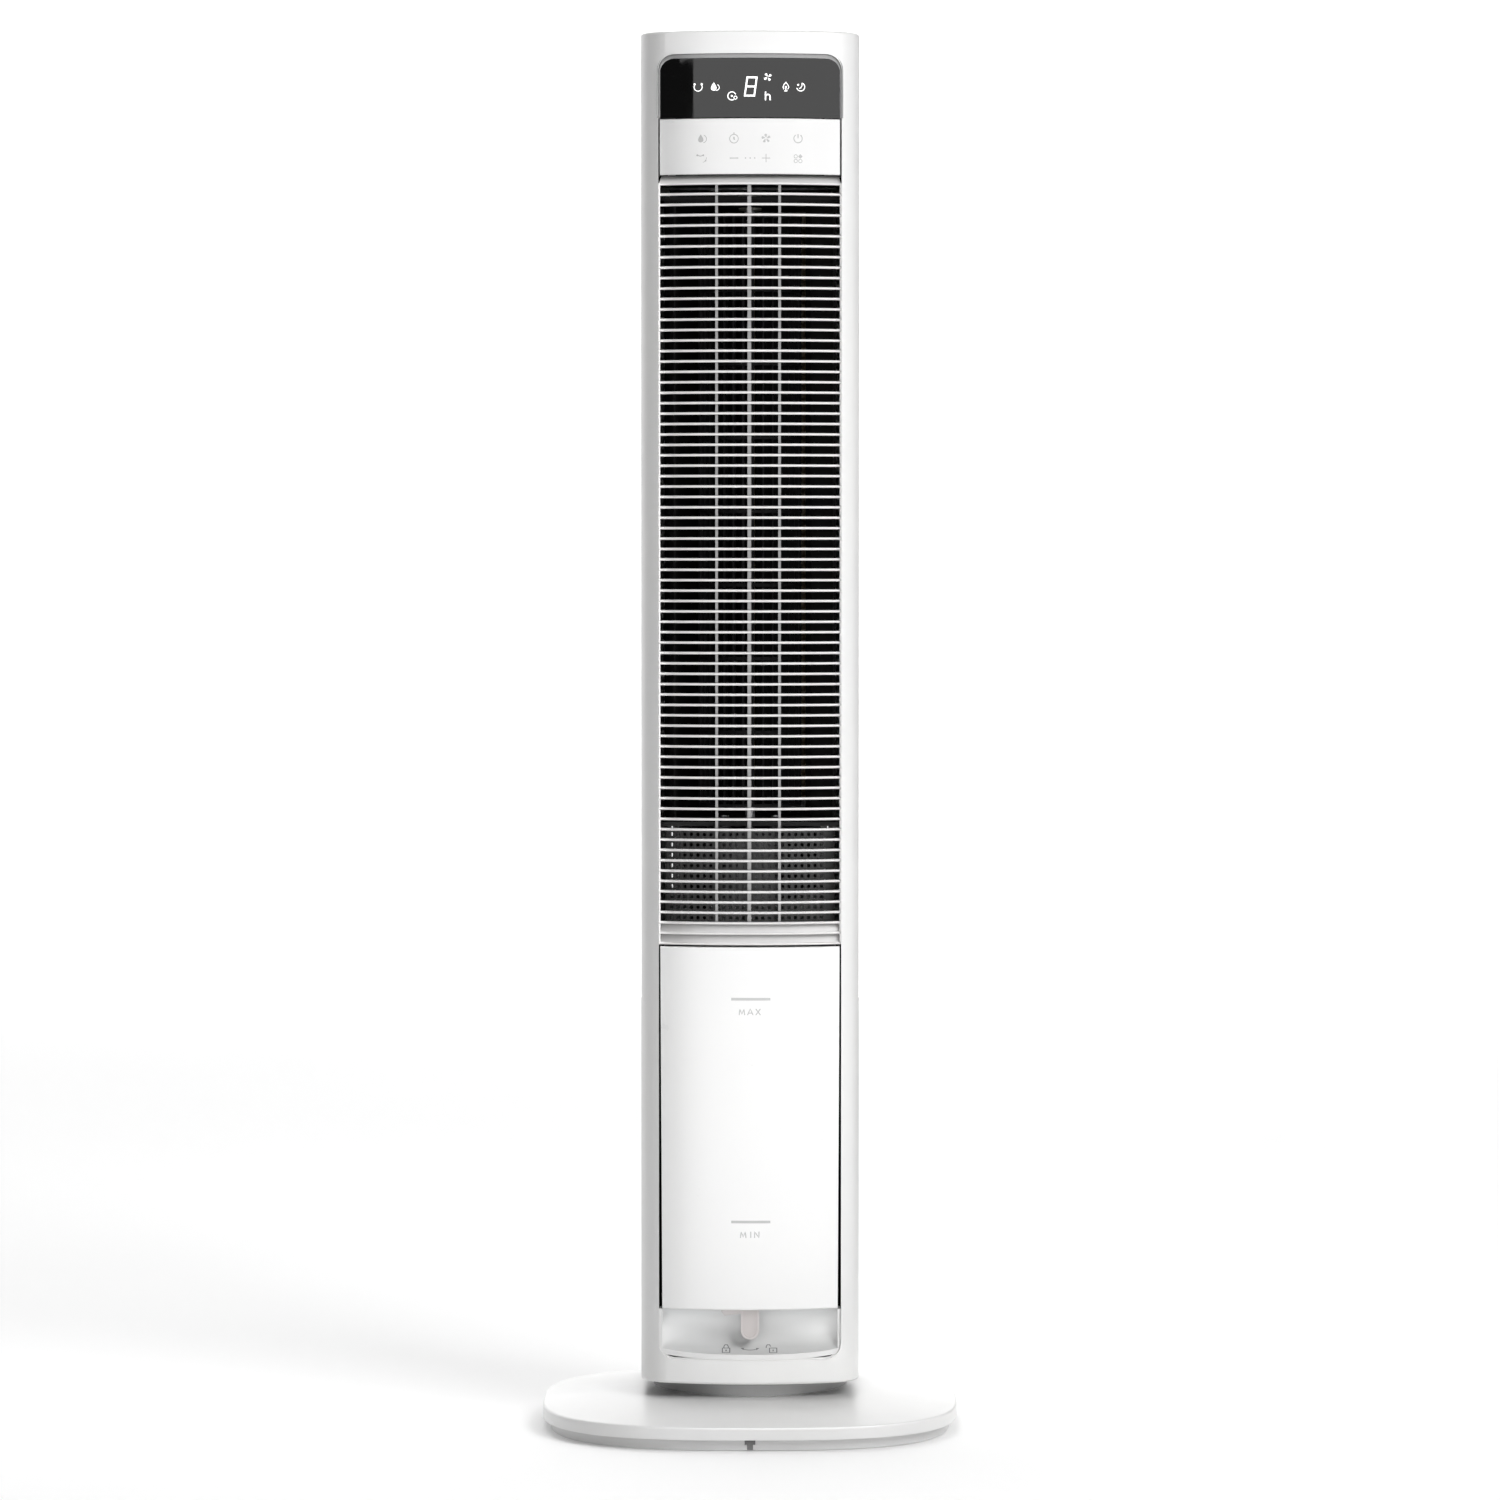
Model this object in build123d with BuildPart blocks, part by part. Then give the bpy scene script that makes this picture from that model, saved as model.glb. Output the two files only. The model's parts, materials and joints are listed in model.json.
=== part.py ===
from build123d import *
import math
import os

# Tower fan with a water tank. Millimetres. The origin is on the floor under the middle of the base,
# +X to the fan's right as seen from the front, -Y towards the front, +Z up.

# ---------------------------------------------------------------- driving sizes
TOWER_BOTTOM = 38.2
TOWER_TOP = 1073.4
FLOOR_PAN_Z = 40.4
HALF_WIDTH = 84.0
FRONT_Y = -88.0
REAR_Y = 87.0
WALL = 2.6
SEAM_Y = -22.0
SEAM_GAP = 0.3

ARC_Y = 120.5
R_BEZEL = ARC_Y - FRONT_Y
R_FACE = R_BEZEL - 2.5
REAR_ARC_Y = -63.0
R_REAR = REAR_Y - REAR_ARC_Y

OPENING_HALF = 70.0
OPENING_Z0 = 57.0
OPENING_Z1 = 1055.8
OPENING_R = 12.0
RIM_ROUND = 1.8
LIP = 2.0

LENS_Z0 = 1007.3
LENS_Z1 = 1052.4
PANEL_Z0 = 964.3
PANEL_Z1 = 1006.7
PANEL_HALF = 68.8

SLAT_TOP_Z = 957.4
SLAT_PITCH = 7.953
SLAT_COUNT = 74
SLAT_THICK = 1.9
SLAT_DEPTH = 10.0
RIB_X = (-25.5, -0.5, 22.6)
RIB_W = (2.1, 2.9, 2.1)

TANK_Z0 = 95.4
TANK_Z1 = 374.4
TANK_HALF = 66.0
TANK_REAR_Y = 56.0
TANK_WALL = 2.5
SHELF_Z = 95.0

LEVER_Z = 112.0
LEVER_PIN_R = 3.0
LEVER_HALF = 7.0
LEVER_TIP_Z = 72.2
LEVER_FRONT_Y = -80.3
LEVER_BACK_Y = -74.4

BASE_A = 160.5
BASE_B = 149.5
BASE_Y = -21.5
PLATE_Z0 = 0.8
COVER_Z0 = 9.1
COVER_EDGE_Z = 18.7
SQUIRCLE_N = 2.85
POST_R = 20.0
FIT = 0.05
GEAR_MODULE = 1.0
RING_TEETH = 60
PINION_TEETH = 16
PINION_Y = GEAR_MODULE * (RING_TEETH + PINION_TEETH) / 2

WHEEL_X = 0.0
WHEEL_Y = -12.0
WHEEL_R = 40.0
WHEEL_Z0 = 480.0
WHEEL_Z1 = 936.0
SHAFT_R = 4.0

PUMP_X = 40.0
PUMP_Y = 26.0
PIPE_Y = 44.0
RISER_X = 73.0
RISER_Y = 30.0

os.makedirs("parts", exist_ok=True)


def save(builder, name):
    builder.part.label = name
    export_step(builder.part, f"parts/{name}.step")


def squircle(half_x, half_y, power=SQUIRCLE_N, count=40):
    """Closed superellipse face, centred on the origin of the sketch."""
    points = []
    for i in range(count):
        angle = 2 * math.pi * i / count
        c, s = math.cos(angle), math.sin(angle)
        px = half_x * math.copysign(abs(c) ** (2 / power), c)
        py = half_y * math.copysign(abs(s) ** (2 / power), s)
        points.append((px, py))
    with BuildSketch(mode=Mode.PRIVATE) as shape:
        with BuildLine():
            Spline(*points, periodic=True)
        make_face()
    return shape.sketch


def arc_y(radius, x):
    """Y of the front arc of the given radius at x."""
    return ARC_Y - math.sqrt(radius**2 - x**2)


def rear_y(radius, x):
    """Y of the rear arc of the given radius at x."""
    return REAR_ARC_Y + math.sqrt(radius**2 - x**2)


def front_band(half, r_out, r_in):
    """Plan of a panel bent to the front arc."""
    a, b = arc_y(r_out, half), arc_y(r_in, half)
    with BuildSketch(mode=Mode.PRIVATE) as shape:
        with BuildLine():
            ThreePointArc((-half, a), (0, ARC_Y - r_out), (half, a))
            Line((half, a), (half, b))
            ThreePointArc((half, b), (0, ARC_Y - r_in), (-half, b))
            Line((-half, b), (-half, a))
        make_face()
    return shape.sketch


def rear_band(half, r_out, r_in):
    """Plan of a panel bent to the rear arc."""
    a, b = rear_y(r_out, half), rear_y(r_in, half)
    with BuildSketch(mode=Mode.PRIVATE) as shape:
        with BuildLine():
            ThreePointArc((-half, a), (0, REAR_ARC_Y + r_out), (half, a))
            Line((half, a), (half, b))
            ThreePointArc((half, b), (0, REAR_ARC_Y + r_in), (-half, b))
            Line((-half, b), (-half, a))
        make_face()
    return shape.sketch


def gear_face(teeth, module):
    """Spur gear with straight-flanked teeth, a tooth centred on +X."""
    r_tip = module * (teeth / 2 + 0.9)
    r_root = module * (teeth / 2 - 1.2)
    step = 2 * math.pi / teeth
    root_half, tip_half = 0.29 * step, 0.13 * step
    points = []
    for i in range(teeth):
        a = i * step
        for r, d in ((r_root, -root_half), (r_tip, -tip_half), (r_tip, tip_half), (r_root, root_half)):
            points.append((r * math.cos(a + d), r * math.sin(a + d)))
    with BuildSketch(mode=Mode.PRIVATE) as shape:
        with BuildLine():
            Polyline(*points, close=True)
        make_face()
    return shape.sketch


# ---------------------------------------------------------------- shared outlines
# plan of the tower: bowed front, softly rounded corners, straight flanks, bowed rear
with BuildSketch() as outline:
    y_front = arc_y(R_BEZEL, HALF_WIDTH)
    y_rear = rear_y(R_REAR, HALF_WIDTH)
    with BuildLine():
        ThreePointArc((-HALF_WIDTH, y_front), (0, FRONT_Y), (HALF_WIDTH, y_front))
        Line((HALF_WIDTH, y_front), (HALF_WIDTH, y_rear))
        ThreePointArc((HALF_WIDTH, y_rear), (0, REAR_Y), (-HALF_WIDTH, y_rear))
        Line((-HALF_WIDTH, y_rear), (-HALF_WIDTH, y_front))
    make_face()
    fillet(outline.vertices().group_by(Axis.Y)[0], 28)
    fillet(outline.vertices().group_by(Axis.Y)[-1], 34)

with BuildSketch() as outline_inner:
    add(outline.sketch)
    offset(amount=-WALL, mode=Mode.REPLACE)

# closed hollow tower that the front frame and the rear housing are cut from
with BuildPart() as tower_shell:
    with BuildSketch(Plane.XY.offset(TOWER_BOTTOM)):
        add(outline.sketch)
    extrude(amount=TOWER_TOP - TOWER_BOTTOM)
    fillet(tower_shell.edges().group_by(Axis.Z)[-1], 1.8)
    fillet(tower_shell.edges().group_by(Axis.Z)[0], 2.0)
    with BuildSketch(Plane.XY.offset(TOWER_BOTTOM)):
        add(outline_inner.sketch)
    extrude(amount=TOWER_TOP - WALL - TOWER_BOTTOM, mode=Mode.SUBTRACT)

SCREW_X = 76.6
SCREW_Z = (130.0, 430.0, 700.0, 985.0)

# ---------------------------------------------------------------- base
with BuildPart() as base_plate:
    with BuildSketch(Plane.XY.offset(PLATE_Z0)):
        with Locations((0, BASE_Y)):
            add(squircle(BASE_A - 6, BASE_B - 6))
    extrude(amount=COVER_Z0 - PLATE_Z0)
    with BuildSketch(Plane.XY.offset(PLATE_Z0 + 3)):
        with Locations((0, BASE_Y)):
            add(squircle(BASE_A - 8.6, BASE_B - 8.6))
    extrude(amount=COVER_Z0 - PLATE_Z0, mode=Mode.SUBTRACT)
    # T-shaped slot in the front of the rim
    with BuildSketch(Plane.XZ.offset(BASE_B - BASE_Y - 10)):
        with Locations((0, 6.9)):
            Rectangle(8.2, 4.4)
        with Locations((0, 2.8)):
            Rectangle(4.7, 4.2)
    extrude(amount=10, mode=Mode.SUBTRACT)
    # screw holes with a recess for the head
    with BuildSketch(Plane.XY.offset(PLATE_Z0)):
        with Locations((0, BASE_Y)):
            with GridLocations(196, 176, 2, 2):
                Circle(4.3)
    extrude(amount=0.9, mode=Mode.SUBTRACT)
    with BuildSketch(Plane.XY.offset(PLATE_Z0)):
        with Locations((0, BASE_Y)):
            with GridLocations(196, 176, 2, 2):
                Circle(2.2)
    extrude(amount=3, mode=Mode.SUBTRACT)
save(base_plate, "base_plate")

# rings of the domed cover: inset in x and y, height, roundness, centre y
DOME = ((0.0, 0.0, COVER_EDGE_Z, SQUIRCLE_N, BASE_Y), (20.0, 19.0, 21.6, SQUIRCLE_N, 0.8 * BASE_Y),
        (50.0, 46.0, 25.2, 2.4, 0.4 * BASE_Y), (84.5, 73.5, 27.7, 2.0, 0.0))

with BuildPart() as base_cover:
    with BuildSketch(Plane.XY.offset(COVER_Z0)):
        with Locations((0, BASE_Y)):
            add(squircle(BASE_A, BASE_B))
    extrude(amount=COVER_EDGE_Z - COVER_Z0)
    for da, db, z, power, cy in DOME:
        with BuildSketch(Plane.XY.offset(z)):
            with Locations((0, cy)):
                add(squircle(BASE_A - da, BASE_B - db, power))
    loft()
    fillet(base_cover.edges().filter_by(lambda e: abs(e.center().Z - COVER_EDGE_Z) < 0.2), 1.6)
    with BuildSketch(Plane.XY.offset(COVER_Z0)):
        with Locations((0, BASE_Y)):
            add(squircle(BASE_A - 2.6, BASE_B - 2.6))
    extrude(amount=7.3, mode=Mode.SUBTRACT)
    for da, db, z, power, cy in DOME:
        with BuildSketch(Plane.XY.offset(z - 2.6)):
            with Locations((0, cy)):
                add(squircle(BASE_A - 2.6 - da, BASE_B - 2.6 - db, power))
    loft(mode=Mode.SUBTRACT)
    # screw bosses
    with BuildSketch(Plane.XY.offset(PLATE_Z0 + 3)):
        with Locations((0, BASE_Y)):
            with GridLocations(196, 176, 2, 2):
                Circle(5)
                Circle(1.5, mode=Mode.SUBTRACT)
    extrude(until=Until.NEXT)
    with BuildSketch(Plane.XY.offset(20)):
        Circle(24)
        with PolarLocations(38, 4, 45):
            Circle(1.7)
    extrude(amount=10, mode=Mode.SUBTRACT)
save(base_cover, "base_cover")

with BuildPart() as base_weight:
    with BuildSketch(Plane.XY.offset(PLATE_Z0 + 3)):
        with Locations((0, BASE_Y)):
            add(squircle(132, 122))
            with GridLocations(196, 176, 2, 2):
                Circle(8, mode=Mode.SUBTRACT)
        Circle(30, mode=Mode.SUBTRACT)
    extrude(amount=5)
save(base_weight, "base_weight")

with BuildPart() as base_feet:
    with BuildSketch():
        with Locations((0, BASE_Y)):
            with GridLocations(224, 196, 2, 2):
                Circle(9)
            with Locations((0, -120)):
                Circle(9)
        # pad under the pivot post, whose face is the origin
        Circle(11)
    extrude(amount=PLATE_Z0)
    fillet(base_feet.edges().group_by(Axis.Z)[0], 0.4)
    # T-shaped stop that fills the slot in the rim
    with BuildSketch(Plane.XZ.offset(BASE_B - BASE_Y - 9.2)):
        with Locations((0, 6.9)):
            Rectangle(8.0, 4.2)
        with Locations((0, 2.9)):
            Rectangle(4.5, 4.2)
    extrude(amount=2.6)
save(base_feet, "base_feet")

with BuildPart() as base_screws:
    with BuildSketch(Plane.XY.offset(PLATE_Z0 + 0.1)):
        with Locations((0, BASE_Y)):
            with GridLocations(196, 176, 2, 2):
                Circle(4)
                RegularPolygon(1.4, 6, mode=Mode.SUBTRACT)
    extrude(amount=0.8)
    with BuildSketch(Plane.XY.offset(PLATE_Z0 + 0.9)):
        with Locations((0, BASE_Y)):
            with GridLocations(196, 176, 2, 2):
                Circle(1.5)
    extrude(amount=11)
save(base_screws, "base_screws")

# ---------------------------------------------------------------- turning joint
NECK_Z0 = 27.7
NECK_Z1 = 39.6
NECK_R = 75.6
RACE_R = 52.0
BALL_R = 3.0
BALL_Z = 35.6

with BuildPart() as neck_collar:
    with BuildSketch(Plane.XY.offset(NECK_Z0)):
        Circle(NECK_R)
        Circle(POST_R, mode=Mode.SUBTRACT)
    extrude(amount=NECK_Z1 - NECK_Z0)
    fillet(neck_collar.edges().filter_by(GeomType.CIRCLE).sort_by(Axis.Z)[-1], 1.2)
    with BuildSketch(Plane.XY.offset(NECK_Z0 + 3)):
        Circle(NECK_R - 4)
        Circle(POST_R, mode=Mode.SUBTRACT)
    extrude(amount=20, mode=Mode.SUBTRACT)
    with BuildSketch(Plane.XY.offset(NECK_Z0)):
        with PolarLocations(38, 4, 45):
            Circle(1.7)
    extrude(amount=3, mode=Mode.SUBTRACT)
save(neck_collar, "neck_collar")

with BuildPart() as pivot_post:
    with BuildSketch(Plane.XZ) as post_section:
        with BuildLine():
            Polyline((12, 22), (POST_R, 22), (POST_R, 30.7), (42, 30.7), (42, 32.7), (POST_R, 32.7),
                     (POST_R, 46.6), (17, 46.6), (17, 53.0), (12, 53.0), close=True)
        make_face()
    revolve(axis=Axis.Z)
    with BuildSketch(Plane.XY.offset(30)):
        with PolarLocations(38, 4, 45):
            Circle(1.7)
    extrude(amount=4, mode=Mode.SUBTRACT)
save(pivot_post, "pivot_post")

with BuildPart() as neck_screws:
    with BuildSketch(Plane.XY.offset(25.1)):
        with PolarLocations(38, 4, 45):
            Circle(1.6)
    extrude(amount=7.6)
    with BuildSketch(Plane.XY.offset(32.7)):
        with PolarLocations(38, 4, 45):
            Circle(3.2)
            Rectangle(4, 0.8, mode=Mode.SUBTRACT)
    extrude(amount=2.2)
save(neck_screws, "neck_screws")

with BuildPart() as lower_race:
    with BuildSketch(Plane.XY.offset(NECK_Z0 + 3)):
        Circle(RACE_R + 8)
        Circle(RACE_R - 8, mode=Mode.SUBTRACT)
    extrude(amount=2.4)
    with Locations((0, 0, BALL_Z)):
        Torus(RACE_R, BALL_R + FIT, mode=Mode.SUBTRACT)
save(lower_race, "lower_race")

with BuildPart() as bearing_balls:
    with Locations((0, 0, BALL_Z)):
        with PolarLocations(RACE_R, 16):
            Sphere(BALL_R)
save(bearing_balls, "bearing_balls")

with BuildPart() as upper_race:
    with BuildSketch(Plane.XY.offset(38.0)):
        Circle(RACE_R + 8)
        Circle(RACE_R - 8, mode=Mode.SUBTRACT)
    extrude(amount=2.4)
    with Locations((0, 0, BALL_Z)):
        Torus(RACE_R, BALL_R + FIT, mode=Mode.SUBTRACT)
save(upper_race, "upper_race")

with BuildPart() as tower_floor:
    with BuildSketch(Plane.XY.offset(FLOOR_PAN_Z)):
        add(outline_inner.sketch)
        offset(amount=-0.1, mode=Mode.REPLACE)
        Circle(24, mode=Mode.SUBTRACT)
    extrude(amount=3)
    # bosses for the swing motor's ears
    with BuildSketch(Plane.XY.offset(FLOOR_PAN_Z + 3)):
        with Locations((-31, PINION_Y + 8), (31, PINION_Y + 8)):
            Circle(4)
            Circle(1.3, mode=Mode.SUBTRACT)
    extrude(amount=57 - FLOOR_PAN_Z - 3)
save(tower_floor, "tower_floor")

with BuildPart() as swivel_bush:
    with BuildSketch(Plane.XY.offset(FLOOR_PAN_Z)):
        Circle(24)
        Circle(POST_R + FIT, mode=Mode.SUBTRACT)
    extrude(amount=3)
    with BuildSketch(Plane.XY.offset(FLOOR_PAN_Z + 3)):
        Circle(28)
        Circle(POST_R + FIT, mode=Mode.SUBTRACT)
    extrude(amount=2)
save(swivel_bush, "swivel_bush")

with BuildPart() as swing_gear:
    with BuildSketch(Plane.XY.offset(46.6)):
        with Locations(Rotation(0, 0, 90)):
            add(gear_face(RING_TEETH, GEAR_MODULE))
        Circle(17, mode=Mode.SUBTRACT)
    extrude(amount=6.4)
save(swing_gear, "swing_gear")

with BuildPart() as swivel_retainer:
    with BuildSketch(Plane.XY.offset(53.0)):
        Circle(25)
        Circle(12, mode=Mode.SUBTRACT)
    extrude(amount=1.8)
save(swivel_retainer, "swivel_retainer")

with BuildPart() as swing_pinion:
    with BuildSketch(Plane.XY.offset(47.0)):
        with Locations(Location((0, PINION_Y, 0), (0, 0, 1), 90 + 180 / PINION_TEETH)):
            add(gear_face(PINION_TEETH, GEAR_MODULE))
    extrude(amount=5.6)
    with BuildSketch(Plane.XY.offset(52.0)):
        with Locations((0, PINION_Y)):
            Circle(3)
    extrude(amount=16)
save(swing_pinion, "swing_pinion")

with BuildPart() as swing_motor:
    with BuildSketch(Plane.XY.offset(57.0)):
        with Locations((0, PINION_Y + 8)):
            Circle(25)
            SlotCenterToCenter(62, 10)
    extrude(amount=1.2)
    with BuildSketch(Plane.XY.offset(58.2)):
        with Locations((0, PINION_Y + 8)):
            Circle(25)
    extrude(amount=19)
    fillet(swing_motor.edges().group_by(Axis.Z)[-1], 2)
    with BuildSketch(Plane.XY.offset(57.0)):
        with Locations((0, PINION_Y)):
            Circle(3 + FIT)
    extrude(amount=12, mode=Mode.SUBTRACT)
    with BuildSketch(Plane.XY.offset(57.0)):
        with Locations((-31, PINION_Y + 8), (31, PINION_Y + 8)):
            Circle(1.7)
    extrude(amount=3, mode=Mode.SUBTRACT)
save(swing_motor, "swing_motor")

# ---------------------------------------------------------------- housing
# block that becomes the lip lining the long opening
with BuildPart() as lip_block:
    with BuildSketch(Plane.XZ.offset(64)):
        with Locations((0, (OPENING_Z0 + OPENING_Z1) / 2)):
            RectangleRounded(2 * (OPENING_HALF + LIP), OPENING_Z1 - OPENING_Z0 + 2 * LIP, OPENING_R + LIP)
    extrude(amount=40)
    with BuildSketch(Plane.XY.offset(TOWER_BOTTOM)):
        add(outline.sketch)
    extrude(amount=TOWER_TOP - TOWER_BOTTOM, mode=Mode.INTERSECT)

with BuildPart() as front_frame:
    add(tower_shell.part)
    with BuildSketch(Plane.XY.offset(TOWER_BOTTOM - 5)):
        with Locations((0, FRONT_Y - 10)):
            Rectangle(220, 2 * (SEAM_Y - FRONT_Y + 10))
    extrude(amount=TOWER_TOP, mode=Mode.INTERSECT)
    add(lip_block.part)
    with BuildSketch(Plane.XZ.offset(40)):
        with Locations((0, (OPENING_Z0 + OPENING_Z1) / 2)):
            RectangleRounded(2 * OPENING_HALF, OPENING_Z1 - OPENING_Z0, OPENING_R)
    extrude(amount=60, mode=Mode.SUBTRACT)
    bezel_face = front_frame.faces().filter_by(lambda f: f.inner_wires()).sort_by(Axis.Y)[0]
    fillet(bezel_face.inner_wires()[0].edges(), RIM_ROUND)
    # bosses that take the housing screws
    for side in (-1, 1):
        for z in SCREW_Z:
            with BuildSketch(Plane.XZ.offset(-SEAM_Y)):
                with Locations((side * SCREW_X, z)):
                    Circle(4)
                with Locations((side * (SCREW_X + 3.2), z)):
                    Rectangle(3.6, 3)
            extrude(amount=16)
            with BuildSketch(Plane.XZ.offset(-SEAM_Y)):
                with Locations((side * SCREW_X, z)):
                    Circle(1.5)
            extrude(amount=14, mode=Mode.SUBTRACT)
save(front_frame, "front_frame")

GRILLE_Z0 = 405.0
GRILLE_Z1 = 958.0
GRILLE_HALF = 62.0
CUP_Z0 = 984.0
CUP_Z1 = 1036.0
CUP_HALF = 52.0
GLAND_X = -45.0
GLAND_Z = 62.0
BOSS_Y1 = -4.0

with BuildPart() as rear_housing:
    add(tower_shell.part)
    with BuildSketch(Plane.XY.offset(TOWER_BOTTOM - 5)):
        with Locations((0, SEAM_Y + SEAM_GAP + 100)):
            Rectangle(220, 200)
    extrude(amount=TOWER_TOP, mode=Mode.INTERSECT)
    # intake window, handle window and cord hole in the back wall
    with BuildSketch(Plane.XZ.offset(-120)):
        with Locations((0, (GRILLE_Z0 + GRILLE_Z1) / 2)):
            RectangleRounded(2 * GRILLE_HALF, GRILLE_Z1 - GRILLE_Z0, 8)
        with Locations((0, (CUP_Z0 + CUP_Z1) / 2)):
            RectangleRounded(2 * CUP_HALF - 8, CUP_Z1 - CUP_Z0 - 8, 10)
        with Locations((GLAND_X, GLAND_Z)):
            Circle(7)
    extrude(amount=60, mode=Mode.SUBTRACT)
    for side in (-1, 1):
        for z in SCREW_Z:
            with BuildSketch(Plane.XZ.offset(-SEAM_Y - SEAM_GAP)):
                with Locations((side * SCREW_X, z)):
                    Circle(4)
                with Locations((side * (SCREW_X + 3.2), z)):
                    Rectangle(3.6, 3)
            extrude(amount=-(BOSS_Y1 - SEAM_Y - SEAM_GAP))
            with BuildSketch(Plane.XZ.offset(-SEAM_Y - SEAM_GAP)):
                with Locations((side * SCREW_X, z)):
                    Circle(1.7)
            extrude(amount=-(BOSS_Y1 - SEAM_Y), mode=Mode.SUBTRACT)
save(rear_housing, "rear_housing")

with BuildPart() as housing_screws:
    with BuildSketch(Plane.XZ.offset(-SEAM_Y + 13)):
        for side in (-1, 1):
            for z in SCREW_Z:
                with Locations((side * SCREW_X, z)):
                    Circle(1.5)
    extrude(amount=-(BOSS_Y1 - SEAM_Y + 13))
    with BuildSketch(Plane.XZ.offset(-BOSS_Y1)):
        for side in (-1, 1):
            for z in SCREW_Z:
                with Locations((side * SCREW_X, z)):
                    Circle(3.2)
                    Rectangle(4.4, 0.9, mode=Mode.SUBTRACT)
    extrude(amount=-2.4)
save(housing_screws, "housing_screws")

with BuildPart() as handle_cup:
    with BuildSketch(Plane.XZ.offset(-56)):
        with Locations((0, (CUP_Z0 + CUP_Z1) / 2)):
            RectangleRounded(2 * CUP_HALF, CUP_Z1 - CUP_Z0, 14)
    extrude(amount=-40)
    with BuildSketch(Plane.XY.offset(CUP_Z0 - 10)):
        with Locations((0, REAR_ARC_Y)):
            Circle(R_REAR - WALL)
    extrude(amount=80, mode=Mode.INTERSECT)
    with BuildSketch(Plane.XZ.offset(-58.5)):
        with Locations((0, (CUP_Z0 + CUP_Z1) / 2)):
            RectangleRounded(2 * CUP_HALF - 8, CUP_Z1 - CUP_Z0 - 8, 10)
    extrude(amount=-40, mode=Mode.SUBTRACT)
    fillet(handle_cup.edges().filter_by(lambda e: abs(e.center().Y - 58.5) < 0.3), 5)
save(handle_cup, "handle_cup")

with BuildPart() as cord_gland:
    with BuildSketch(Plane.XZ.offset(-72)):
        with Locations((GLAND_X, GLAND_Z)):
            Circle(7)
    extrude(amount=-11.2)
    with BuildSketch(Plane.XZ.offset(-83.2)):
        with Locations((GLAND_X, GLAND_Z)):
            Circle(9)
    extrude(amount=-2.6)
    fillet(cord_gland.edges().filter_by(GeomType.CIRCLE).sort_by(Axis.Y)[-1], 1)
    with BuildSketch(Plane.XZ.offset(-72)):
        with Locations((GLAND_X, GLAND_Z)):
            Circle(3.5)
    extrude(amount=-20, mode=Mode.SUBTRACT)
save(cord_gland, "cord_gland")

# ---------------------------------------------------------------- display and touch panel
with BuildPart() as display_lens:
    with BuildSketch(Plane.XY.offset(LENS_Z0)):
        add(front_band(PANEL_HALF + 1, R_FACE, R_FACE - 2.4))
    extrude(amount=LENS_Z1 - LENS_Z0 + 4)
    with BuildSketch(Plane.XZ.offset(30)):
        with Locations((0, LENS_Z1 - 50)):
            RectangleRounded(2 * PANEL_HALF, 100, OPENING_R - 2.2)
    extrude(amount=70, mode=Mode.INTERSECT)
save(display_lens, "display_lens")

with BuildPart() as control_panel:
    with BuildSketch(Plane.XY.offset(PANEL_Z0)):
        add(front_band(PANEL_HALF, R_FACE, R_FACE - 2.4))
    extrude(amount=PANEL_Z1 - PANEL_Z0)
    fillet(control_panel.edges().filter_by(GeomType.CIRCLE).group_by(SortBy.RADIUS)[-1], 0.6)
save(control_panel, "control_panel")

BOARD_Y = -71.0
with BuildPart() as display_board:
    with BuildSketch(Plane.XZ.offset(-BOARD_Y - 1.6)):
        with Locations((0, (LENS_Z0 + LENS_Z1) / 2)):
            RectangleRounded(116, 42, 3)
    extrude(amount=1.6)
    # indicator block under the window
    with BuildSketch(Plane.XZ.offset(-BOARD_Y)):
        with Locations((0, (LENS_Z0 + LENS_Z1) / 2)):
            RectangleRounded(84, 28, 2)
    extrude(amount=4)
    with BuildSketch(Plane.XZ.offset(-BOARD_Y - 1.6)):
        with GridLocations(30, 12, 3, 2):
            with Locations((0, (LENS_Z0 + LENS_Z1) / 2)):
                Rectangle(6, 4)
    extrude(amount=-1.5)
save(display_board, "display_board")

with BuildPart() as touch_board:
    with BuildSketch(Plane.XZ.offset(-BOARD_Y - 1.6)):
        with Locations((0, (PANEL_Z0 + PANEL_Z1) / 2)):
            RectangleRounded(116, 38, 3)
    extrude(amount=1.6)
    # touch springs, one under each printed key
    with BuildSketch(Plane.XZ.offset(-BOARD_Y)):
        for x in (-36.6, -12.0, 12.4, 36.6):
            for z in (977.3, 992.4):
                with Locations((x, z)):
                    Circle(3.2)
                    Circle(2.4, mode=Mode.SUBTRACT)
    extrude(amount=3.6)
save(touch_board, "touch_board")

with BuildPart() as power_board:
    with BuildSketch(Plane.XZ.offset(-18)):
        with Locations((0, 1010)):
            RectangleRounded(104, 84, 3)
    extrude(amount=1.6)
    with BuildSketch(Plane.XZ.offset(-16.4)):
        with Locations((-28, 1030)):
            Rectangle(30, 26)
        with Locations((20, 1036), (34, 1036)):
            Circle(5)
        with Locations((26, 988)):
            Rectangle(34, 12)
        with Locations((-26, 984)):
            Rectangle(12, 8)
    extrude(amount=14)
save(power_board, "power_board")

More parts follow.
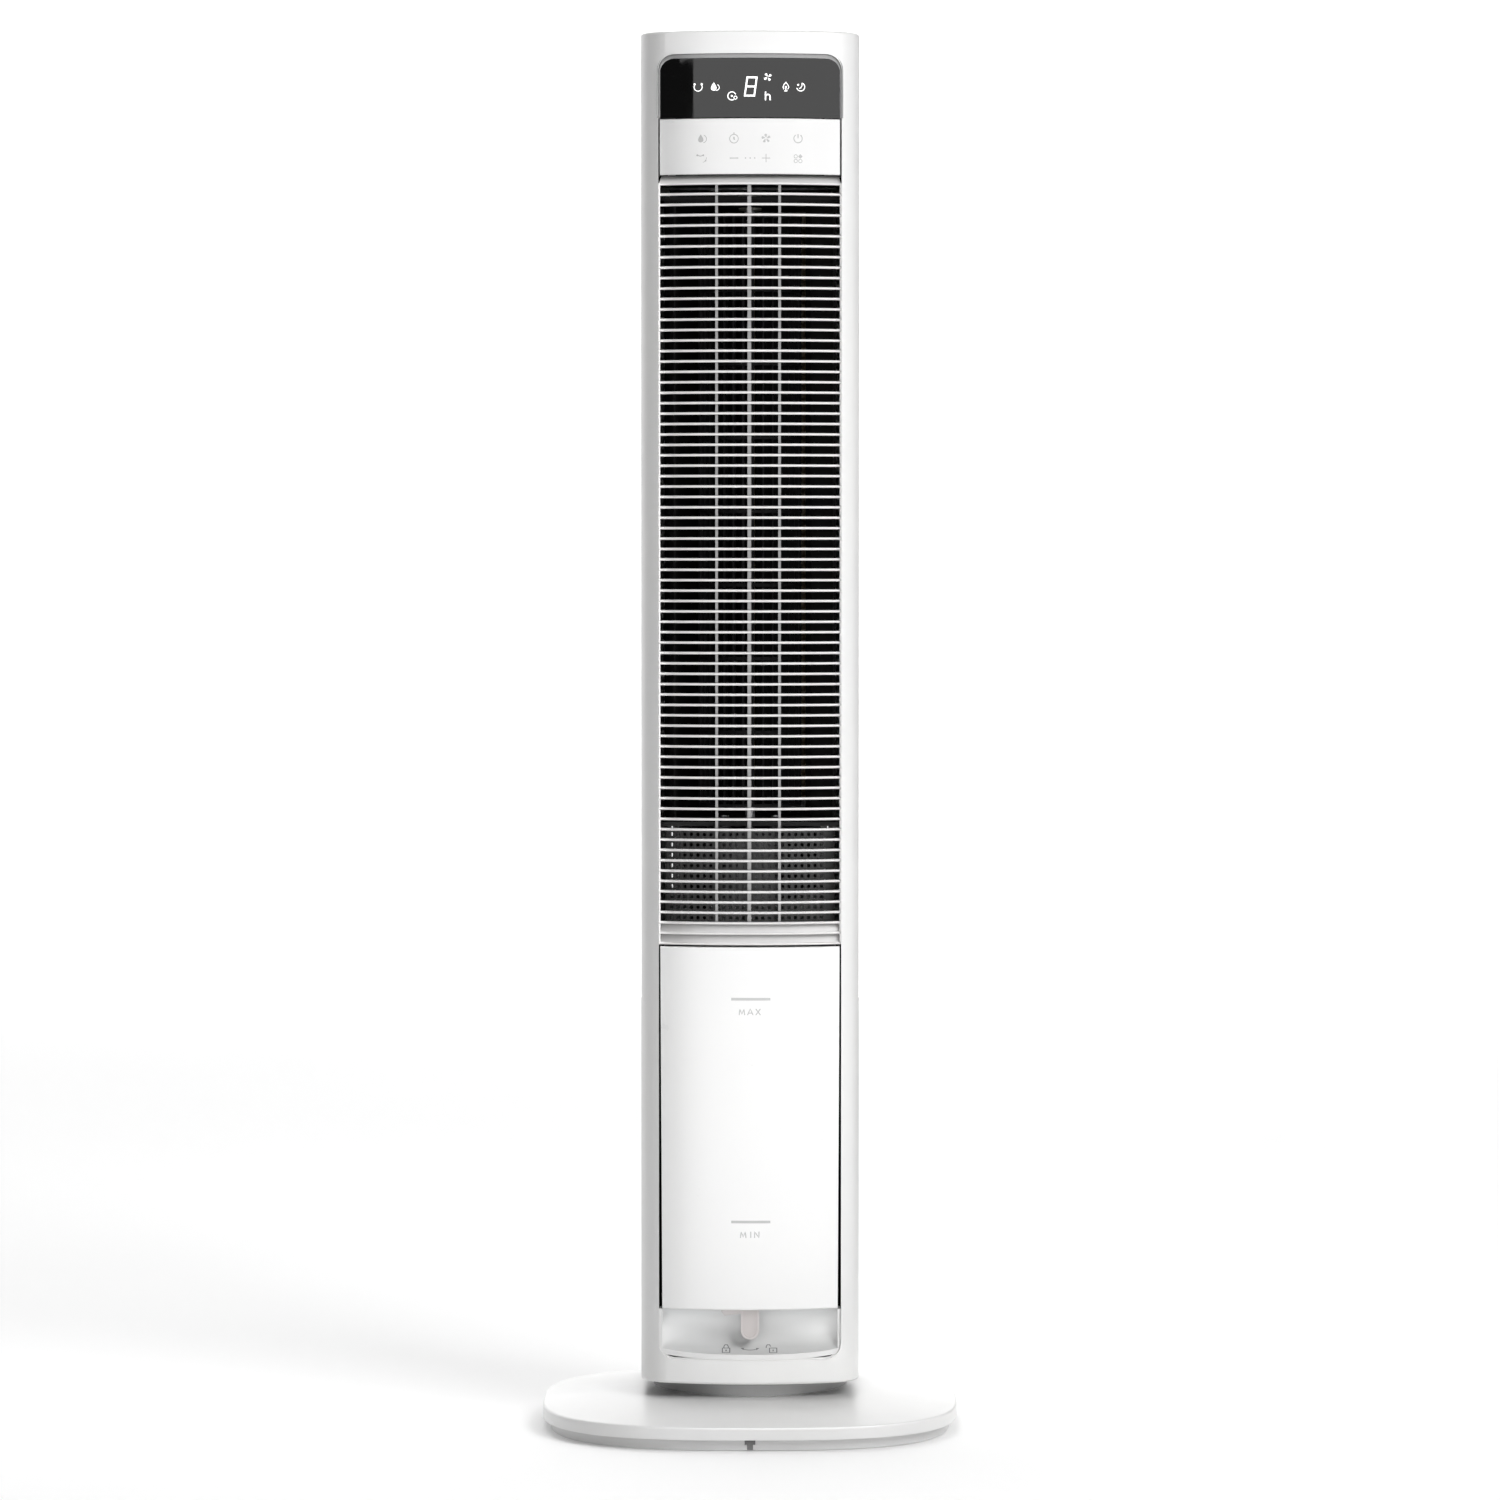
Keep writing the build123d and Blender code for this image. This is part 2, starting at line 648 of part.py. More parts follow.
with BuildPart() as board_carrier:
    with BuildSketch(Plane.XY.offset(961)):
        with Locations((0, -20.2)):
            Rectangle(140, 79.6)
        with Locations((0, -24.9)):
            Rectangle(80, 89)
    extrude(amount=2.4)
    with BuildSketch(Plane.XZ.offset(-19.6)):
        with Locations((0, 1008)):
            Rectangle(116, 94)
            Rectangle(92, 72, mode=Mode.SUBTRACT)
    extrude(amount=1.6)
    with BuildSketch(Plane.XZ.offset(67.4)):
        with Locations((0, 1009)):
            Rectangle(112, 86)
            Rectangle(88, 68, mode=Mode.SUBTRACT)
        with Locations((0, 965)):
            Rectangle(80, 8)
    extrude(amount=2)
save(board_carrier, "board_carrier")

# ---------------------------------------------------------------- front grille
SLAT_HALF = 69.6
sweep_half = math.degrees(math.asin(SLAT_HALF / R_FACE))
slat_plane = Plane(
    origin=(0, ARC_Y, 0),
    x_dir=(-math.sin(math.radians(sweep_half)), -math.cos(math.radians(sweep_half)), 0),
    z_dir=(-math.cos(math.radians(sweep_half)), math.sin(math.radians(sweep_half)), 0),
)
GRILLE_BOTTOM = SLAT_TOP_Z - SLAT_PITCH * (SLAT_COUNT - 1)

with BuildSketch() as slat:
    half = SLAT_THICK / 2
    with BuildLine():
        Line((R_FACE - SLAT_DEPTH, -0.6), (R_FACE - 0.9, -half))
        ThreePointArc((R_FACE - 0.9, -half), (R_FACE, 0), (R_FACE - 0.9, half))
        Line((R_FACE - 0.9, half), (R_FACE - SLAT_DEPTH, 0.6))
        Line((R_FACE - SLAT_DEPTH, 0.6), (R_FACE - SLAT_DEPTH, -0.6))
    make_face()

with BuildPart() as front_grille:
    with BuildSketch(slat_plane):
        with Locations(*[(0, SLAT_TOP_Z - SLAT_PITCH * k) for k in range(SLAT_COUNT)]):
            add(slat.sketch)
        # sloping band that leads from the touch panel to the first slat
        with BuildLine():
            Polyline((R_FACE - 0.9, SLAT_TOP_Z + 0.9), (R_FACE - 5.5, PANEL_Z0 - 0.3),
                     (R_FACE - SLAT_DEPTH, PANEL_Z0 - 0.3), (R_FACE - SLAT_DEPTH, SLAT_TOP_Z - 0.6),
                     (R_FACE - 1.5, SLAT_TOP_Z - 0.8), close=True)
        make_face()
        # blind, hollowed bands between the lowest slats
        for k in (SLAT_COUNT - 2, SLAT_COUNT - 3):
            z = SLAT_TOP_Z - SLAT_PITCH * (k + 1)
            with BuildLine():
                Polyline((R_FACE - 2.6, z + 0.5), (R_FACE - 4.6, z + SLAT_PITCH - 0.5),
                         (R_FACE - 7, z + SLAT_PITCH - 0.5), (R_FACE - 7, z + 0.5), close=True)
            make_face()
    revolve(axis=Axis((0, ARC_Y, 0), (0, 0, 1)), revolution_arc=2 * sweep_half)
    # side rails and upright ribs
    with BuildSketch(Plane.XY.offset(GRILLE_BOTTOM - SLAT_THICK / 2)):
        for side in (-1, 1):
            y_rail = arc_y(R_FACE, SLAT_HALF)
            with Locations((side * (SLAT_HALF - 0.3), y_rail + 5.6)):
                Rectangle(1.2, 10)
        for x, w in zip(RIB_X, RIB_W):
            with Locations((x, arc_y(R_FACE - SLAT_DEPTH, x) - 1.2)):
                Rectangle(w, 5)
    extrude(amount=SLAT_TOP_Z - GRILLE_BOTTOM + SLAT_THICK)
save(front_grille, "front_grille")

GUARD_Z0 = 392.0
GUARD_Z1 = 464.0
HOLE_PITCH = 5.0
HOLE_ROW = 4.0
with BuildPart() as motor_guard:
    with BuildSketch(Plane.XY.offset(GUARD_Z0)):
        add(front_band(65, R_FACE - 13.4, R_FACE - 14.4))
    extrude(amount=GUARD_Z1 - GUARD_Z0)
    with BuildSketch(Plane.XZ.offset(40)):
        for row in range(17):
            shift = HOLE_PITCH / 2 * (row % 2)
            with Locations(*[(-60 + shift + HOLE_PITCH * i, GUARD_Z0 + 4 + HOLE_ROW * row) for i in range(24)]):
                Circle(1.35)
    extrude(amount=60, mode=Mode.SUBTRACT)
save(motor_guard, "motor_guard")

# ---------------------------------------------------------------- lower apron with the lever recess
with BuildPart() as scoop_apron:
    with BuildSketch(Plane.YZ.offset(-OPENING_HALF + 0.4)):
        with BuildLine():
            ThreePointArc((-85.2, 61.1), (-70.5, 67.2), (-60.6, SHELF_Z))
            Line((-60.6, SHELF_Z), (-58.0, SHELF_Z))
            ThreePointArc((-58.0, SHELF_Z), (-68.4, 64.2), (-85.2, 57.4))
            Line((-85.2, 57.4), (-85.2, 61.1))
        make_face()
    extrude(amount=2 * OPENING_HALF - 0.8)
    # cheeks
    with BuildSketch(Plane.YZ.offset(-OPENING_HALF + 0.4)):
        with BuildLine():
            ThreePointArc((-85.2, 57.4), (-68.4, 64.2), (-58.0, SHELF_Z))
            Line((-58.0, SHELF_Z), (-85.2, SHELF_Z))
            Line((-85.2, SHELF_Z), (-85.2, 57.4))
        make_face()
    extrude(amount=2.2)
    mirror(scoop_apron.part, about=Plane.YZ)
    with BuildSketch(Plane.XY.offset(50)):
        with Locations((0, ARC_Y)):
            Circle(R_FACE)
    extrude(amount=60, mode=Mode.INTERSECT)
    with BuildSketch(Plane.XZ.offset(30)):
        with Locations((0, OPENING_Z0 + 60.3)):
            RectangleRounded(2 * OPENING_HALF - 0.8, 120, OPENING_R - 0.3)
    extrude(amount=70, mode=Mode.INTERSECT)
save(scoop_apron, "scoop_apron")

# ---------------------------------------------------------------- tank bay
BAY_REAR_Y = 64.0
DECK_Z = 377.5
BAY_FRONT_Y = -62.4
SHELF_FRONT_Y = -56.8
with BuildPart() as tank_bay:
    with BuildSketch(Plane.XY.offset(SHELF_Z - 2.6)):
        with Locations((0, (BAY_REAR_Y + SHELF_FRONT_Y) / 2)):
            Rectangle(2 * OPENING_HALF + 4, BAY_REAR_Y - SHELF_FRONT_Y)
    extrude(amount=2.6)
    with BuildSketch(Plane.XY.offset(SHELF_Z)):
        for side in (-1, 1):
            with Locations((side * (OPENING_HALF + 1), (BAY_REAR_Y + BAY_FRONT_Y) / 2)):
                Rectangle(2, BAY_REAR_Y - BAY_FRONT_Y)
        with Locations((0, BAY_REAR_Y - 1)):
            Rectangle(2 * OPENING_HALF + 4, 2)
    extrude(amount=DECK_Z - SHELF_Z)
    with BuildSketch(Plane.XY.offset(DECK_Z)):
        with Locations((0, (BAY_REAR_Y + BAY_FRONT_Y) / 2)):
            Rectangle(2 * OPENING_HALF + 4, BAY_REAR_Y - BAY_FRONT_Y)
        with Locations((PUMP_X, PIPE_Y)):
            Circle(8, mode=Mode.SUBTRACT)
        with Locations((-PUMP_X, PIPE_Y)):
            Circle(6.3, mode=Mode.SUBTRACT)
    extrude(amount=2.5)
save(tank_bay, "tank_bay")

# ---------------------------------------------------------------- tank
POCKET_HALF = 29.0
POCKET_Y = -68.5
POCKET_Z = 126.0
with BuildSketch() as tank_plan:
    with BuildLine():
        yt = arc_y(R_FACE - 2.6, TANK_HALF)
        ThreePointArc((-TANK_HALF, yt), (0, ARC_Y - R_FACE + 2.6), (TANK_HALF, yt))
        Line((TANK_HALF, yt), (TANK_HALF, TANK_REAR_Y))
        Line((TANK_HALF, TANK_REAR_Y), (-TANK_HALF, TANK_REAR_Y))
        Line((-TANK_HALF, TANK_REAR_Y), (-TANK_HALF, yt))
    make_face()
    fillet(tank_plan.vertices().group_by(Axis.Y)[-1], 14)

with BuildSketch() as tank_plan_inner:
    add(tank_plan.sketch)
    offset(amount=-TANK_WALL, mode=Mode.REPLACE)

# inside of the tank, stepping over the lever pocket
with BuildPart() as tank_cavity:
    with BuildSketch(Plane.XY.offset(TANK_Z0 + TANK_WALL)):
        add(tank_plan_inner.sketch)
    extrude(amount=300)
    with BuildSketch(Plane.XY.offset(TANK_Z0)):
        with Locations((0, POCKET_Y + TANK_WALL - 20)):
            Rectangle(2 * (POCKET_HALF + TANK_WALL), 40)
    extrude(amount=POCKET_Z + TANK_WALL - TANK_Z0, mode=Mode.SUBTRACT)

with BuildPart() as tank_body:
    with BuildSketch(Plane.XY.offset(TANK_Z0)):
        add(tank_plan.sketch)
    extrude(amount=370 - TANK_Z0)
    add(tank_cavity.part, mode=Mode.SUBTRACT)
    with BuildSketch(Plane.XY.offset(TANK_Z0)):
        with Locations((0, POCKET_Y - 20)):
            Rectangle(2 * POCKET_HALF, 40)
    extrude(amount=POCKET_Z - TANK_Z0, mode=Mode.SUBTRACT)
    # boss that holds the lever's pin
    with BuildSketch(Plane.XZ.offset(-POCKET_Y - 0.5)):
        with Locations((0, LEVER_Z)):
            Circle(6)
    extrude(amount=5.9)
    with BuildSketch(Plane.XZ.offset(-POCKET_Y)):
        with Locations((0, LEVER_Z)):
            Circle(LEVER_PIN_R)
    extrude(amount=20, mode=Mode.SUBTRACT)
save(tank_body, "tank_body")

with BuildPart() as tank_front:
    with BuildSketch(Plane.XY.offset(TANK_Z0)):
        add(front_band(PANEL_HALF, R_FACE, R_FACE - 2.5))
    extrude(amount=TANK_Z1 - TANK_Z0)
    with BuildSketch(Plane.XZ.offset(40)):
        with BuildLine():
            Polyline((-67.4, 90), (67.4, 90), (PANEL_HALF, 380), (-PANEL_HALF, 380), close=True)
        make_face()
    extrude(amount=60, mode=Mode.INTERSECT)
    fillet(tank_front.edges().filter_by(GeomType.CIRCLE).group_by(SortBy.RADIUS)[-1], 0.9)
save(tank_front, "tank_front")

with BuildPart() as tank_cover:
    with BuildSketch(Plane.XY.offset(370)):
        add(tank_plan.sketch)
        with Locations((0, -44)):
            RectangleRounded(70, 40, 8, mode=Mode.SUBTRACT)
        with Locations((PUMP_X, PIPE_Y)):
            Circle(6.2, mode=Mode.SUBTRACT)
        with Locations((-PUMP_X, PIPE_Y)):
            Circle(8, mode=Mode.SUBTRACT)
    extrude(amount=2.4)
    with BuildSketch(Plane.XY.offset(372.4)):
        add(tank_plan.sketch)
        offset(amount=-5, mode=Mode.SUBTRACT)
    extrude(amount=1.6)
    # plug that centres the cover in the tank
    with BuildSketch(Plane.XY.offset(366)):
        add(tank_plan_inner.sketch)
        offset(tank_plan_inner.sketch, amount=-2.2, mode=Mode.SUBTRACT)
    extrude(amount=4)
save(tank_cover, "tank_cover")

FLOOR_Z = TANK_Z0 + TANK_WALL
with BuildPart() as pump_housing:
    with BuildSketch(Plane.XY.offset(FLOOR_Z)):
        with Locations((PUMP_X, PUMP_Y)):
            Circle(17)
        with Locations((PUMP_X, (PUMP_Y + PIPE_Y) / 2)):
            Rectangle(14, PIPE_Y - PUMP_Y)
        with Locations((PUMP_X, PIPE_Y)):
            Circle(7)
    extrude(amount=20)
    with BuildSketch(Plane.XY.offset(FLOOR_Z + 20)):
        with Locations((PUMP_X, PUMP_Y)):
            Circle(11.5)
    extrude(amount=24)
    fillet(pump_housing.edges().group_by(Axis.Z)[-1], 3)
    # impeller chamber, inlet, shaft hole, outlet
    with BuildSketch(Plane.XY.offset(FLOOR_Z + 3)):
        with Locations((PUMP_X, PUMP_Y)):
            Circle(12.5)
    extrude(amount=8, mode=Mode.SUBTRACT)
    with BuildSketch(Plane.XY.offset(FLOOR_Z + 2)):
        with Locations((PUMP_X, PUMP_Y)):
            Circle(5)
    extrude(amount=1, mode=Mode.SUBTRACT)
    with BuildSketch(Plane.XY.offset(FLOOR_Z)):
        with Locations((PUMP_X - 10, PUMP_Y)):
            Rectangle(20, 8)
    extrude(amount=2, mode=Mode.SUBTRACT)
    with BuildSketch(Plane.XY.offset(FLOOR_Z + 11)):
        with Locations((PUMP_X, PUMP_Y)):
            Circle(2 + FIT)
    extrude(amount=20, mode=Mode.SUBTRACT)
    with BuildSketch(Plane.XY.offset(FLOOR_Z + 4)):
        with Locations((PUMP_X, PUMP_Y + 10 + 4)):
            Rectangle(6, 8)
        with Locations((PUMP_X, PIPE_Y)):
            Circle(4)
    extrude(amount=6, mode=Mode.SUBTRACT)
    with BuildSketch(Plane.XY.offset(FLOOR_Z + 9)):
        with Locations((PUMP_X, PIPE_Y)):
            Circle(4)
    extrude(amount=20, mode=Mode.SUBTRACT)
save(pump_housing, "pump_housing")

with BuildPart() as pump_impeller:
    with BuildSketch(Plane.XY.offset(FLOOR_Z + 3.5)):
        with Locations((PUMP_X, PUMP_Y)):
            Circle(3.5)
            with PolarLocations(6.5, 6):
                Rectangle(8, 1.2)
    extrude(amount=5)
    with BuildSketch(Plane.XY.offset(FLOOR_Z + 8.5)):
        with Locations((PUMP_X, PUMP_Y)):
            Circle(11)
    extrude(amount=1.4)
    with BuildSketch(Plane.XY.offset(FLOOR_Z + 9)):
        with Locations((PUMP_X, PUMP_Y)):
            Circle(2)
    extrude(amount=20)
save(pump_impeller, "pump_impeller")

with BuildPart() as pump_pipe:
    with BuildSketch(Plane.XY.offset(FLOOR_Z + 20)):
        with Locations((PUMP_X, PIPE_Y)):
            Circle(6)
            Circle(4, mode=Mode.SUBTRACT)
    extrude(amount=TANK_Z1 - FLOOR_Z - 20)
save(pump_pipe, "pump_pipe")

# ---------------------------------------------------------------- lock lever
with BuildPart() as lock_lever:
    with BuildSketch(Plane.XZ.offset(-LEVER_BACK_Y)) as lever_plan:
        with BuildLine():
            Polyline((LEVER_HALF, LEVER_Z), (LEVER_HALF, LEVER_TIP_Z), (-LEVER_HALF, LEVER_TIP_Z),
                     (-LEVER_HALF, 92.2), (-13.0, 91.3), (-19.6, 90.6), (-22.0, 93.4),
                     (-22.0, 103.0), (-9.0, 112.0), close=True)
        make_face()
        fillet(lever_plan.vertices().group_by(Axis.Y)[0], LEVER_HALF - 0.05)
        with Locations((0, LEVER_Z)):
            Circle(10)
    extrude(amount=LEVER_BACK_Y - LEVER_FRONT_Y)
    # dished finger face
    with BuildSketch(Plane.XZ.offset(-LEVER_FRONT_Y)):
        with Locations((0, 90.5)):
            SlotCenterToCenter(23, 10.4, rotation=90)
    extrude(amount=-1.0, mode=Mode.SUBTRACT)
    with BuildSketch(Plane.XZ.offset(-LEVER_BACK_Y - 1)):
        with Locations((0, LEVER_Z)):
            Circle(LEVER_PIN_R + FIT)
    extrude(amount=10, mode=Mode.SUBTRACT)
save(lock_lever, "lock_lever")

with BuildPart() as lever_pin:
    with BuildSketch(Plane.XZ.offset(-POCKET_Y)):
        with Locations((0, LEVER_Z)):
            Circle(LEVER_PIN_R)
    extrude(amount=POCKET_Y - LEVER_FRONT_Y + 0.3)
    with BuildSketch(Plane.XZ.offset(-LEVER_FRONT_Y + 0.3)):
        with Locations((0, LEVER_Z)):
            Circle(5.2)
            Rectangle(6, 1, mode=Mode.SUBTRACT)
    extrude(amount=1.4)
save(lever_pin, "lever_pin")

# ---------------------------------------------------------------- blower
with BuildPart() as motor_bracket:
    with BuildSketch(Plane.XY.offset(466)):
        with Locations((0, -13)):
            RectangleRounded(156, 94, 6)
        with Locations((WHEEL_X, WHEEL_Y)):
            Circle(13, mode=Mode.SUBTRACT)
            with PolarLocations(28, 4, 45):
                Circle(2.1, mode=Mode.SUBTRACT)
        with Locations((RISER_X, RISER_Y)):
            Circle(5.4, mode=Mode.SUBTRACT)
    extrude(amount=3)
save(motor_bracket, "motor_bracket")

with BuildPart() as motor_grommets:
    with BuildSketch(Plane.XY.offset(462)):
        with Locations((WHEEL_X, WHEEL_Y)):
            with PolarLocations(28, 4, 45):
                Circle(5)
                Circle(2, mode=Mode.SUBTRACT)
    extrude(amount=4)
save(motor_grommets, "motor_grommets")

with BuildPart() as fan_motor:
    with BuildSketch(Plane.XY.offset(404)):
        with Locations((WHEEL_X, WHEEL_Y)):
            Circle(36)
    extrude(amount=56)
    fillet(fan_motor.edges().group_by(Axis.Z)[0], 4)
    fillet(fan_motor.edges().group_by(Axis.Z)[-1], 4)
    with BuildSketch(Plane.XY.offset(430)):
        with Locations((WHEEL_X, WHEEL_Y)):
            Circle(38.5)
    extrude(amount=3)
    with BuildSketch(Plane.XY.offset(459)):
        with Locations((WHEEL_X, WHEEL_Y)):
            with PolarLocations(28, 4, 45):
                Circle(5)
            Circle(9)
    extrude(amount=3)
    with BuildSketch(Plane.XY.offset(416)):
        with Locations((WHEEL_X, WHEEL_Y)):
            Circle(SHAFT_R + FIT)
    extrude(amount=60, mode=Mode.SUBTRACT)
save(fan_motor, "fan_motor")

with BuildPart() as motor_screws:
    with BuildSketch(Plane.XY.offset(462)):
        with Locations((WHEEL_X, WHEEL_Y)):
            with PolarLocations(28, 4, 45):
                Circle(2)
    extrude(amount=7)
    with BuildSketch(Plane.XY.offset(469)):
        with Locations((WHEEL_X, WHEEL_Y)):
            with PolarLocations(28, 4, 45):
                Circle(3.6)
    extrude(amount=2.2)
    with BuildSketch(Plane.XY.offset(48)):
        with Locations((-31, PINION_Y + 8), (31, PINION_Y + 8)):
            Circle(1.3)
    extrude(amount=10.2)
    with BuildSketch(Plane.XY.offset(58.2)):
        with Locations((-31, PINION_Y + 8), (31, PINION_Y + 8)):
            Circle(2.8)
    extrude(amount=2)
save(motor_screws, "motor_screws")

with BuildPart() as drive_shaft:
    with BuildSketch(Plane.XY.offset(417)):
        with Locations((WHEEL_X, WHEEL_Y)):
            Circle(SHAFT_R)
    extrude(amount=WHEEL_Z0 + 14 - 417)
    chamfer(drive_shaft.edges().group_by(Axis.Z)[-1], 0.6)
save(drive_shaft, "drive_shaft")

with BuildSketch() as blade:
    with BuildLine():
        front_edge = RadiusArc((31.0, 0), (39.6, 3.2), 9)
        back_edge = RadiusArc((31.2, -1.3), (39.9, 1.9), 9.5)
        Line(front_edge @ 0, back_edge @ 0)
        Line(front_edge @ 1, back_edge @ 1)
    make_face()

WHEEL_BAYS = 8
RING_THICK = 2.4
with BuildPart() as fan_wheel:
    with BuildSketch(Plane.XY.offset(WHEEL_Z0)):
        with Locations((WHEEL_X, WHEEL_Y)):
            with PolarLocations(0, 32):
                add(blade.sketch)
    extrude(amount=WHEEL_Z1 - WHEEL_Z0)
    for k in range(WHEEL_BAYS + 1):
        z_ring = WHEEL_Z0 + k * (WHEEL_Z1 - WHEEL_Z0 - RING_THICK) / WHEEL_BAYS
        with BuildSketch(Plane.XY.offset(z_ring)):
            with Locations((WHEEL_X, WHEEL_Y)):
                Circle(WHEEL_R)
                if 0 < k < WHEEL_BAYS:
                    Circle(29, mode=Mode.SUBTRACT)
        extrude(amount=RING_THICK)
    for z_hub in (WHEEL_Z0, WHEEL_Z1 - 14):
        with BuildSketch(Plane.XY.offset(z_hub)):
            with Locations((WHEEL_X, WHEEL_Y)):
                Circle(10)
        extrude(amount=14)
        with BuildSketch(Plane.XY.offset(z_hub)):
            with Locations((WHEEL_X, WHEEL_Y)):
                Circle(SHAFT_R)
        extrude(amount=14, mode=Mode.SUBTRACT)
save(fan_wheel, "fan_wheel")

with BuildPart() as top_pivot:
    with BuildSketch(Plane.XY.offset(WHEEL_Z1 - 14)):
        with Locations((WHEEL_X, WHEEL_Y)):
            Circle(SHAFT_R)
    extrude(amount=30)
    chamfer(top_pivot.edges().group_by(Axis.Z)[-1], 0.6)
save(top_pivot, "top_pivot")

with BuildPart() as upper_deck:
    with BuildSketch(Plane.XY.offset(946)):
        with Locations((0, -13)):
            RectangleRounded(156, 94, 6)
        with Locations((WHEEL_X, WHEEL_Y)):
            Circle(9, mode=Mode.SUBTRACT)
        with Locations((RISER_X, RISER_Y)):
            Rectangle(14, 18, mode=Mode.SUBTRACT)
    extrude(amount=3)
save(upper_deck, "upper_deck")

with BuildPart() as top_bearing:
    with BuildSketch(Plane.XY.offset(941)):
        with Locations((WHEEL_X, WHEEL_Y)):
            Circle(9)
            Circle(SHAFT_R + FIT, mode=Mode.SUBTRACT)
    extrude(amount=12)
    with BuildSketch(Plane.XY.offset(949)):
        with Locations((WHEEL_X, WHEEL_Y)):
            Circle(13)
            Circle(SHAFT_R + FIT, mode=Mode.SUBTRACT)
    extrude(amount=2)
save(top_bearing, "top_bearing")


def spiral_wall(start, end, r_start, r_end, thick, count=14):
    """Plan of a duct wall around the wheel; angles in degrees from +X."""
    inner, outer = [], []
    for i in range(count + 1):
        t = i / count
        a = math.radians(start + (end - start) * t)
        r = r_start + (r_end - r_start) * t**1.6
        inner.append((WHEEL_X + r * math.cos(a), WHEEL_Y + r * math.sin(a)))
        outer.append((WHEEL_X + (r + thick) * math.cos(a), WHEEL_Y + (r + thick) * math.sin(a)))
    with BuildSketch(mode=Mode.PRIVATE) as shape:
        with BuildLine():
            Spline(*inner)
            Line(inner[-1], outer[-1])
            Spline(*outer[::-1])
            Line(outer[0], inner[0])
        make_face()
    return shape.sketch


DUCT_Z0 = 472.0
DUCT_Z1 = 943.0
with BuildPart() as air_duct:
    with BuildSketch(Plane.XY.offset(DUCT_Z0)):
        add(spiral_wall(88, 222, 43.5, 76.0, 2.2))
        # tongue that splits the outgoing air from the wheel
        with BuildLine():
            Polyline((43.0, -20.0), (46.5, -17.5), (66.0, -46.0), (66.0, -56.0), (63.8, -56.0),
                     (63.8, -47.0), (47.0, -34.0), close=True)
        make_face()
    extrude(amount=DUCT_Z1 - DUCT_Z0)
    for z in (469.0, DUCT_Z1):
        with BuildSketch(Plane.XY.offset(z)):
            with Locations((0, -13)):
                Rectangle(132, 88)
            with Locations((WHEEL_X, WHEEL_Y)):
                if z < 500:
                    Circle(34, mode=Mode.SUBTRACT)
                else:
                    Circle(9, mode=Mode.SUBTRACT)
        extrude(amount=3.0)
save(air_duct, "air_duct")

# ---------------------------------------------------------------- wet side
with BuildPart() as pad_frame:
    with BuildSketch(Plane.XZ.offset(-60)):
        with Locations((0, 713)):
            RectangleRounded(124, 474, 4)
    extrude(amount=24)
    with BuildSketch(Plane.XZ.offset(-62)):
        with Locations((0, 713)):
            Rectangle(112, 458)
    extrude(amount=28, mode=Mode.SUBTRACT)
    with BuildSketch(Plane.XZ.offset(-58)):
        with Locations((0, 713)):
            Rectangle(118, 466)
    extrude(amount=20, mode=Mode.SUBTRACT)
save(pad_frame, "pad_frame")

with BuildPart() as wet_pad:
    with BuildSketch(Plane.XZ.offset(-58)):
        with Locations((0, 713)):
            Rectangle(118, 466)
    extrude(amount=20)
save(wet_pad, "wet_pad")

with BuildPart() as drip_tray:
    with BuildSketch(Plane.XY.offset(951)):
        with Locations((0, 48)):
            Rectangle(126, 24)
    extrude(amount=9)
    with BuildSketch(Plane.XY.offset(953)):
        with Locations((0, 48)):
            Rectangle(122, 20)
    extrude(amount=9, mode=Mode.SUBTRACT)
    with BuildSketch(Plane.XY.offset(951)):
        with GridLocations(8, 8, 14, 2):
            with Locations((0, 48)):
                Circle(1.1)
    extrude(amount=2, mode=Mode.SUBTRACT)
    with BuildSketch(Plane.YZ.offset(60)):
        with Locations((48, 958)):
            Circle(4.7)
    extrude(amount=5, mode=Mode.SUBTRACT)
save(drip_tray, "drip_tray")

with BuildPart() as drain_gutter:
    with BuildSketch(Plane.XY.offset(462)):
        with Locations((0, 48)):
            Rectangle(130, 24)
    extrude(amount=13.6)
    with BuildSketch(Plane.XY.offset(464)):
        with Locations((0, 48)):
            Rectangle(126, 20)
    extrude(amount=12, mode=Mode.SUBTRACT)
    with BuildSketch(Plane.XY.offset(375.6)):
        with Locations((-PUMP_X, PIPE_Y)):
            Circle(6)
    extrude(amount=88)
    with BuildSketch(Plane.XY.offset(375.6)):
        with Locations((-PUMP_X, PIPE_Y)):
            Circle(4)
    extrude(amount=89, mode=Mode.SUBTRACT)
save(drain_gutter, "drain_gutter")

with BuildPart() as water_coupling:
    with BuildSketch(Plane.XY.offset(375.0)):
        with Locations((PUMP_X, PIPE_Y)):
            Circle(8)
            Circle(4, mode=Mode.SUBTRACT)
    extrude(amount=12)
    with BuildSketch(Plane.XY.offset(380.0)):
        with Locations((PUMP_X, PIPE_Y)):
            Circle(10)
            Circle(4, mode=Mode.SUBTRACT)
    extrude(amount=2)
save(water_coupling, "water_coupling")

with BuildPart() as riser_pipe:
    with BuildLine():
        Polyline((PUMP_X, PIPE_Y, 387), (PUMP_X, PIPE_Y, 402), (RISER_X, RISER_Y, 420), (RISER_X, RISER_Y, 945),
                 (RISER_X, 48, 958), (61, 48, 958))
    with BuildSketch(Plane(origin=(PUMP_X, PIPE_Y, 387))):
        Circle(4.6)
        Circle(3.2, mode=Mode.SUBTRACT)
    sweep(transition=Transition.ROUND)
save(riser_pipe, "riser_pipe")

# ---------------------------------------------------------------- dust filter and rear grille
with BuildSketch() as rear_slat:
    with BuildLine():
        Polyline((R_REAR - 5.5, -0.2), (R_REAR, -1.6), (R_REAR, 0.0), (R_REAR - 5.5, 1.4), close=True)
    make_face()

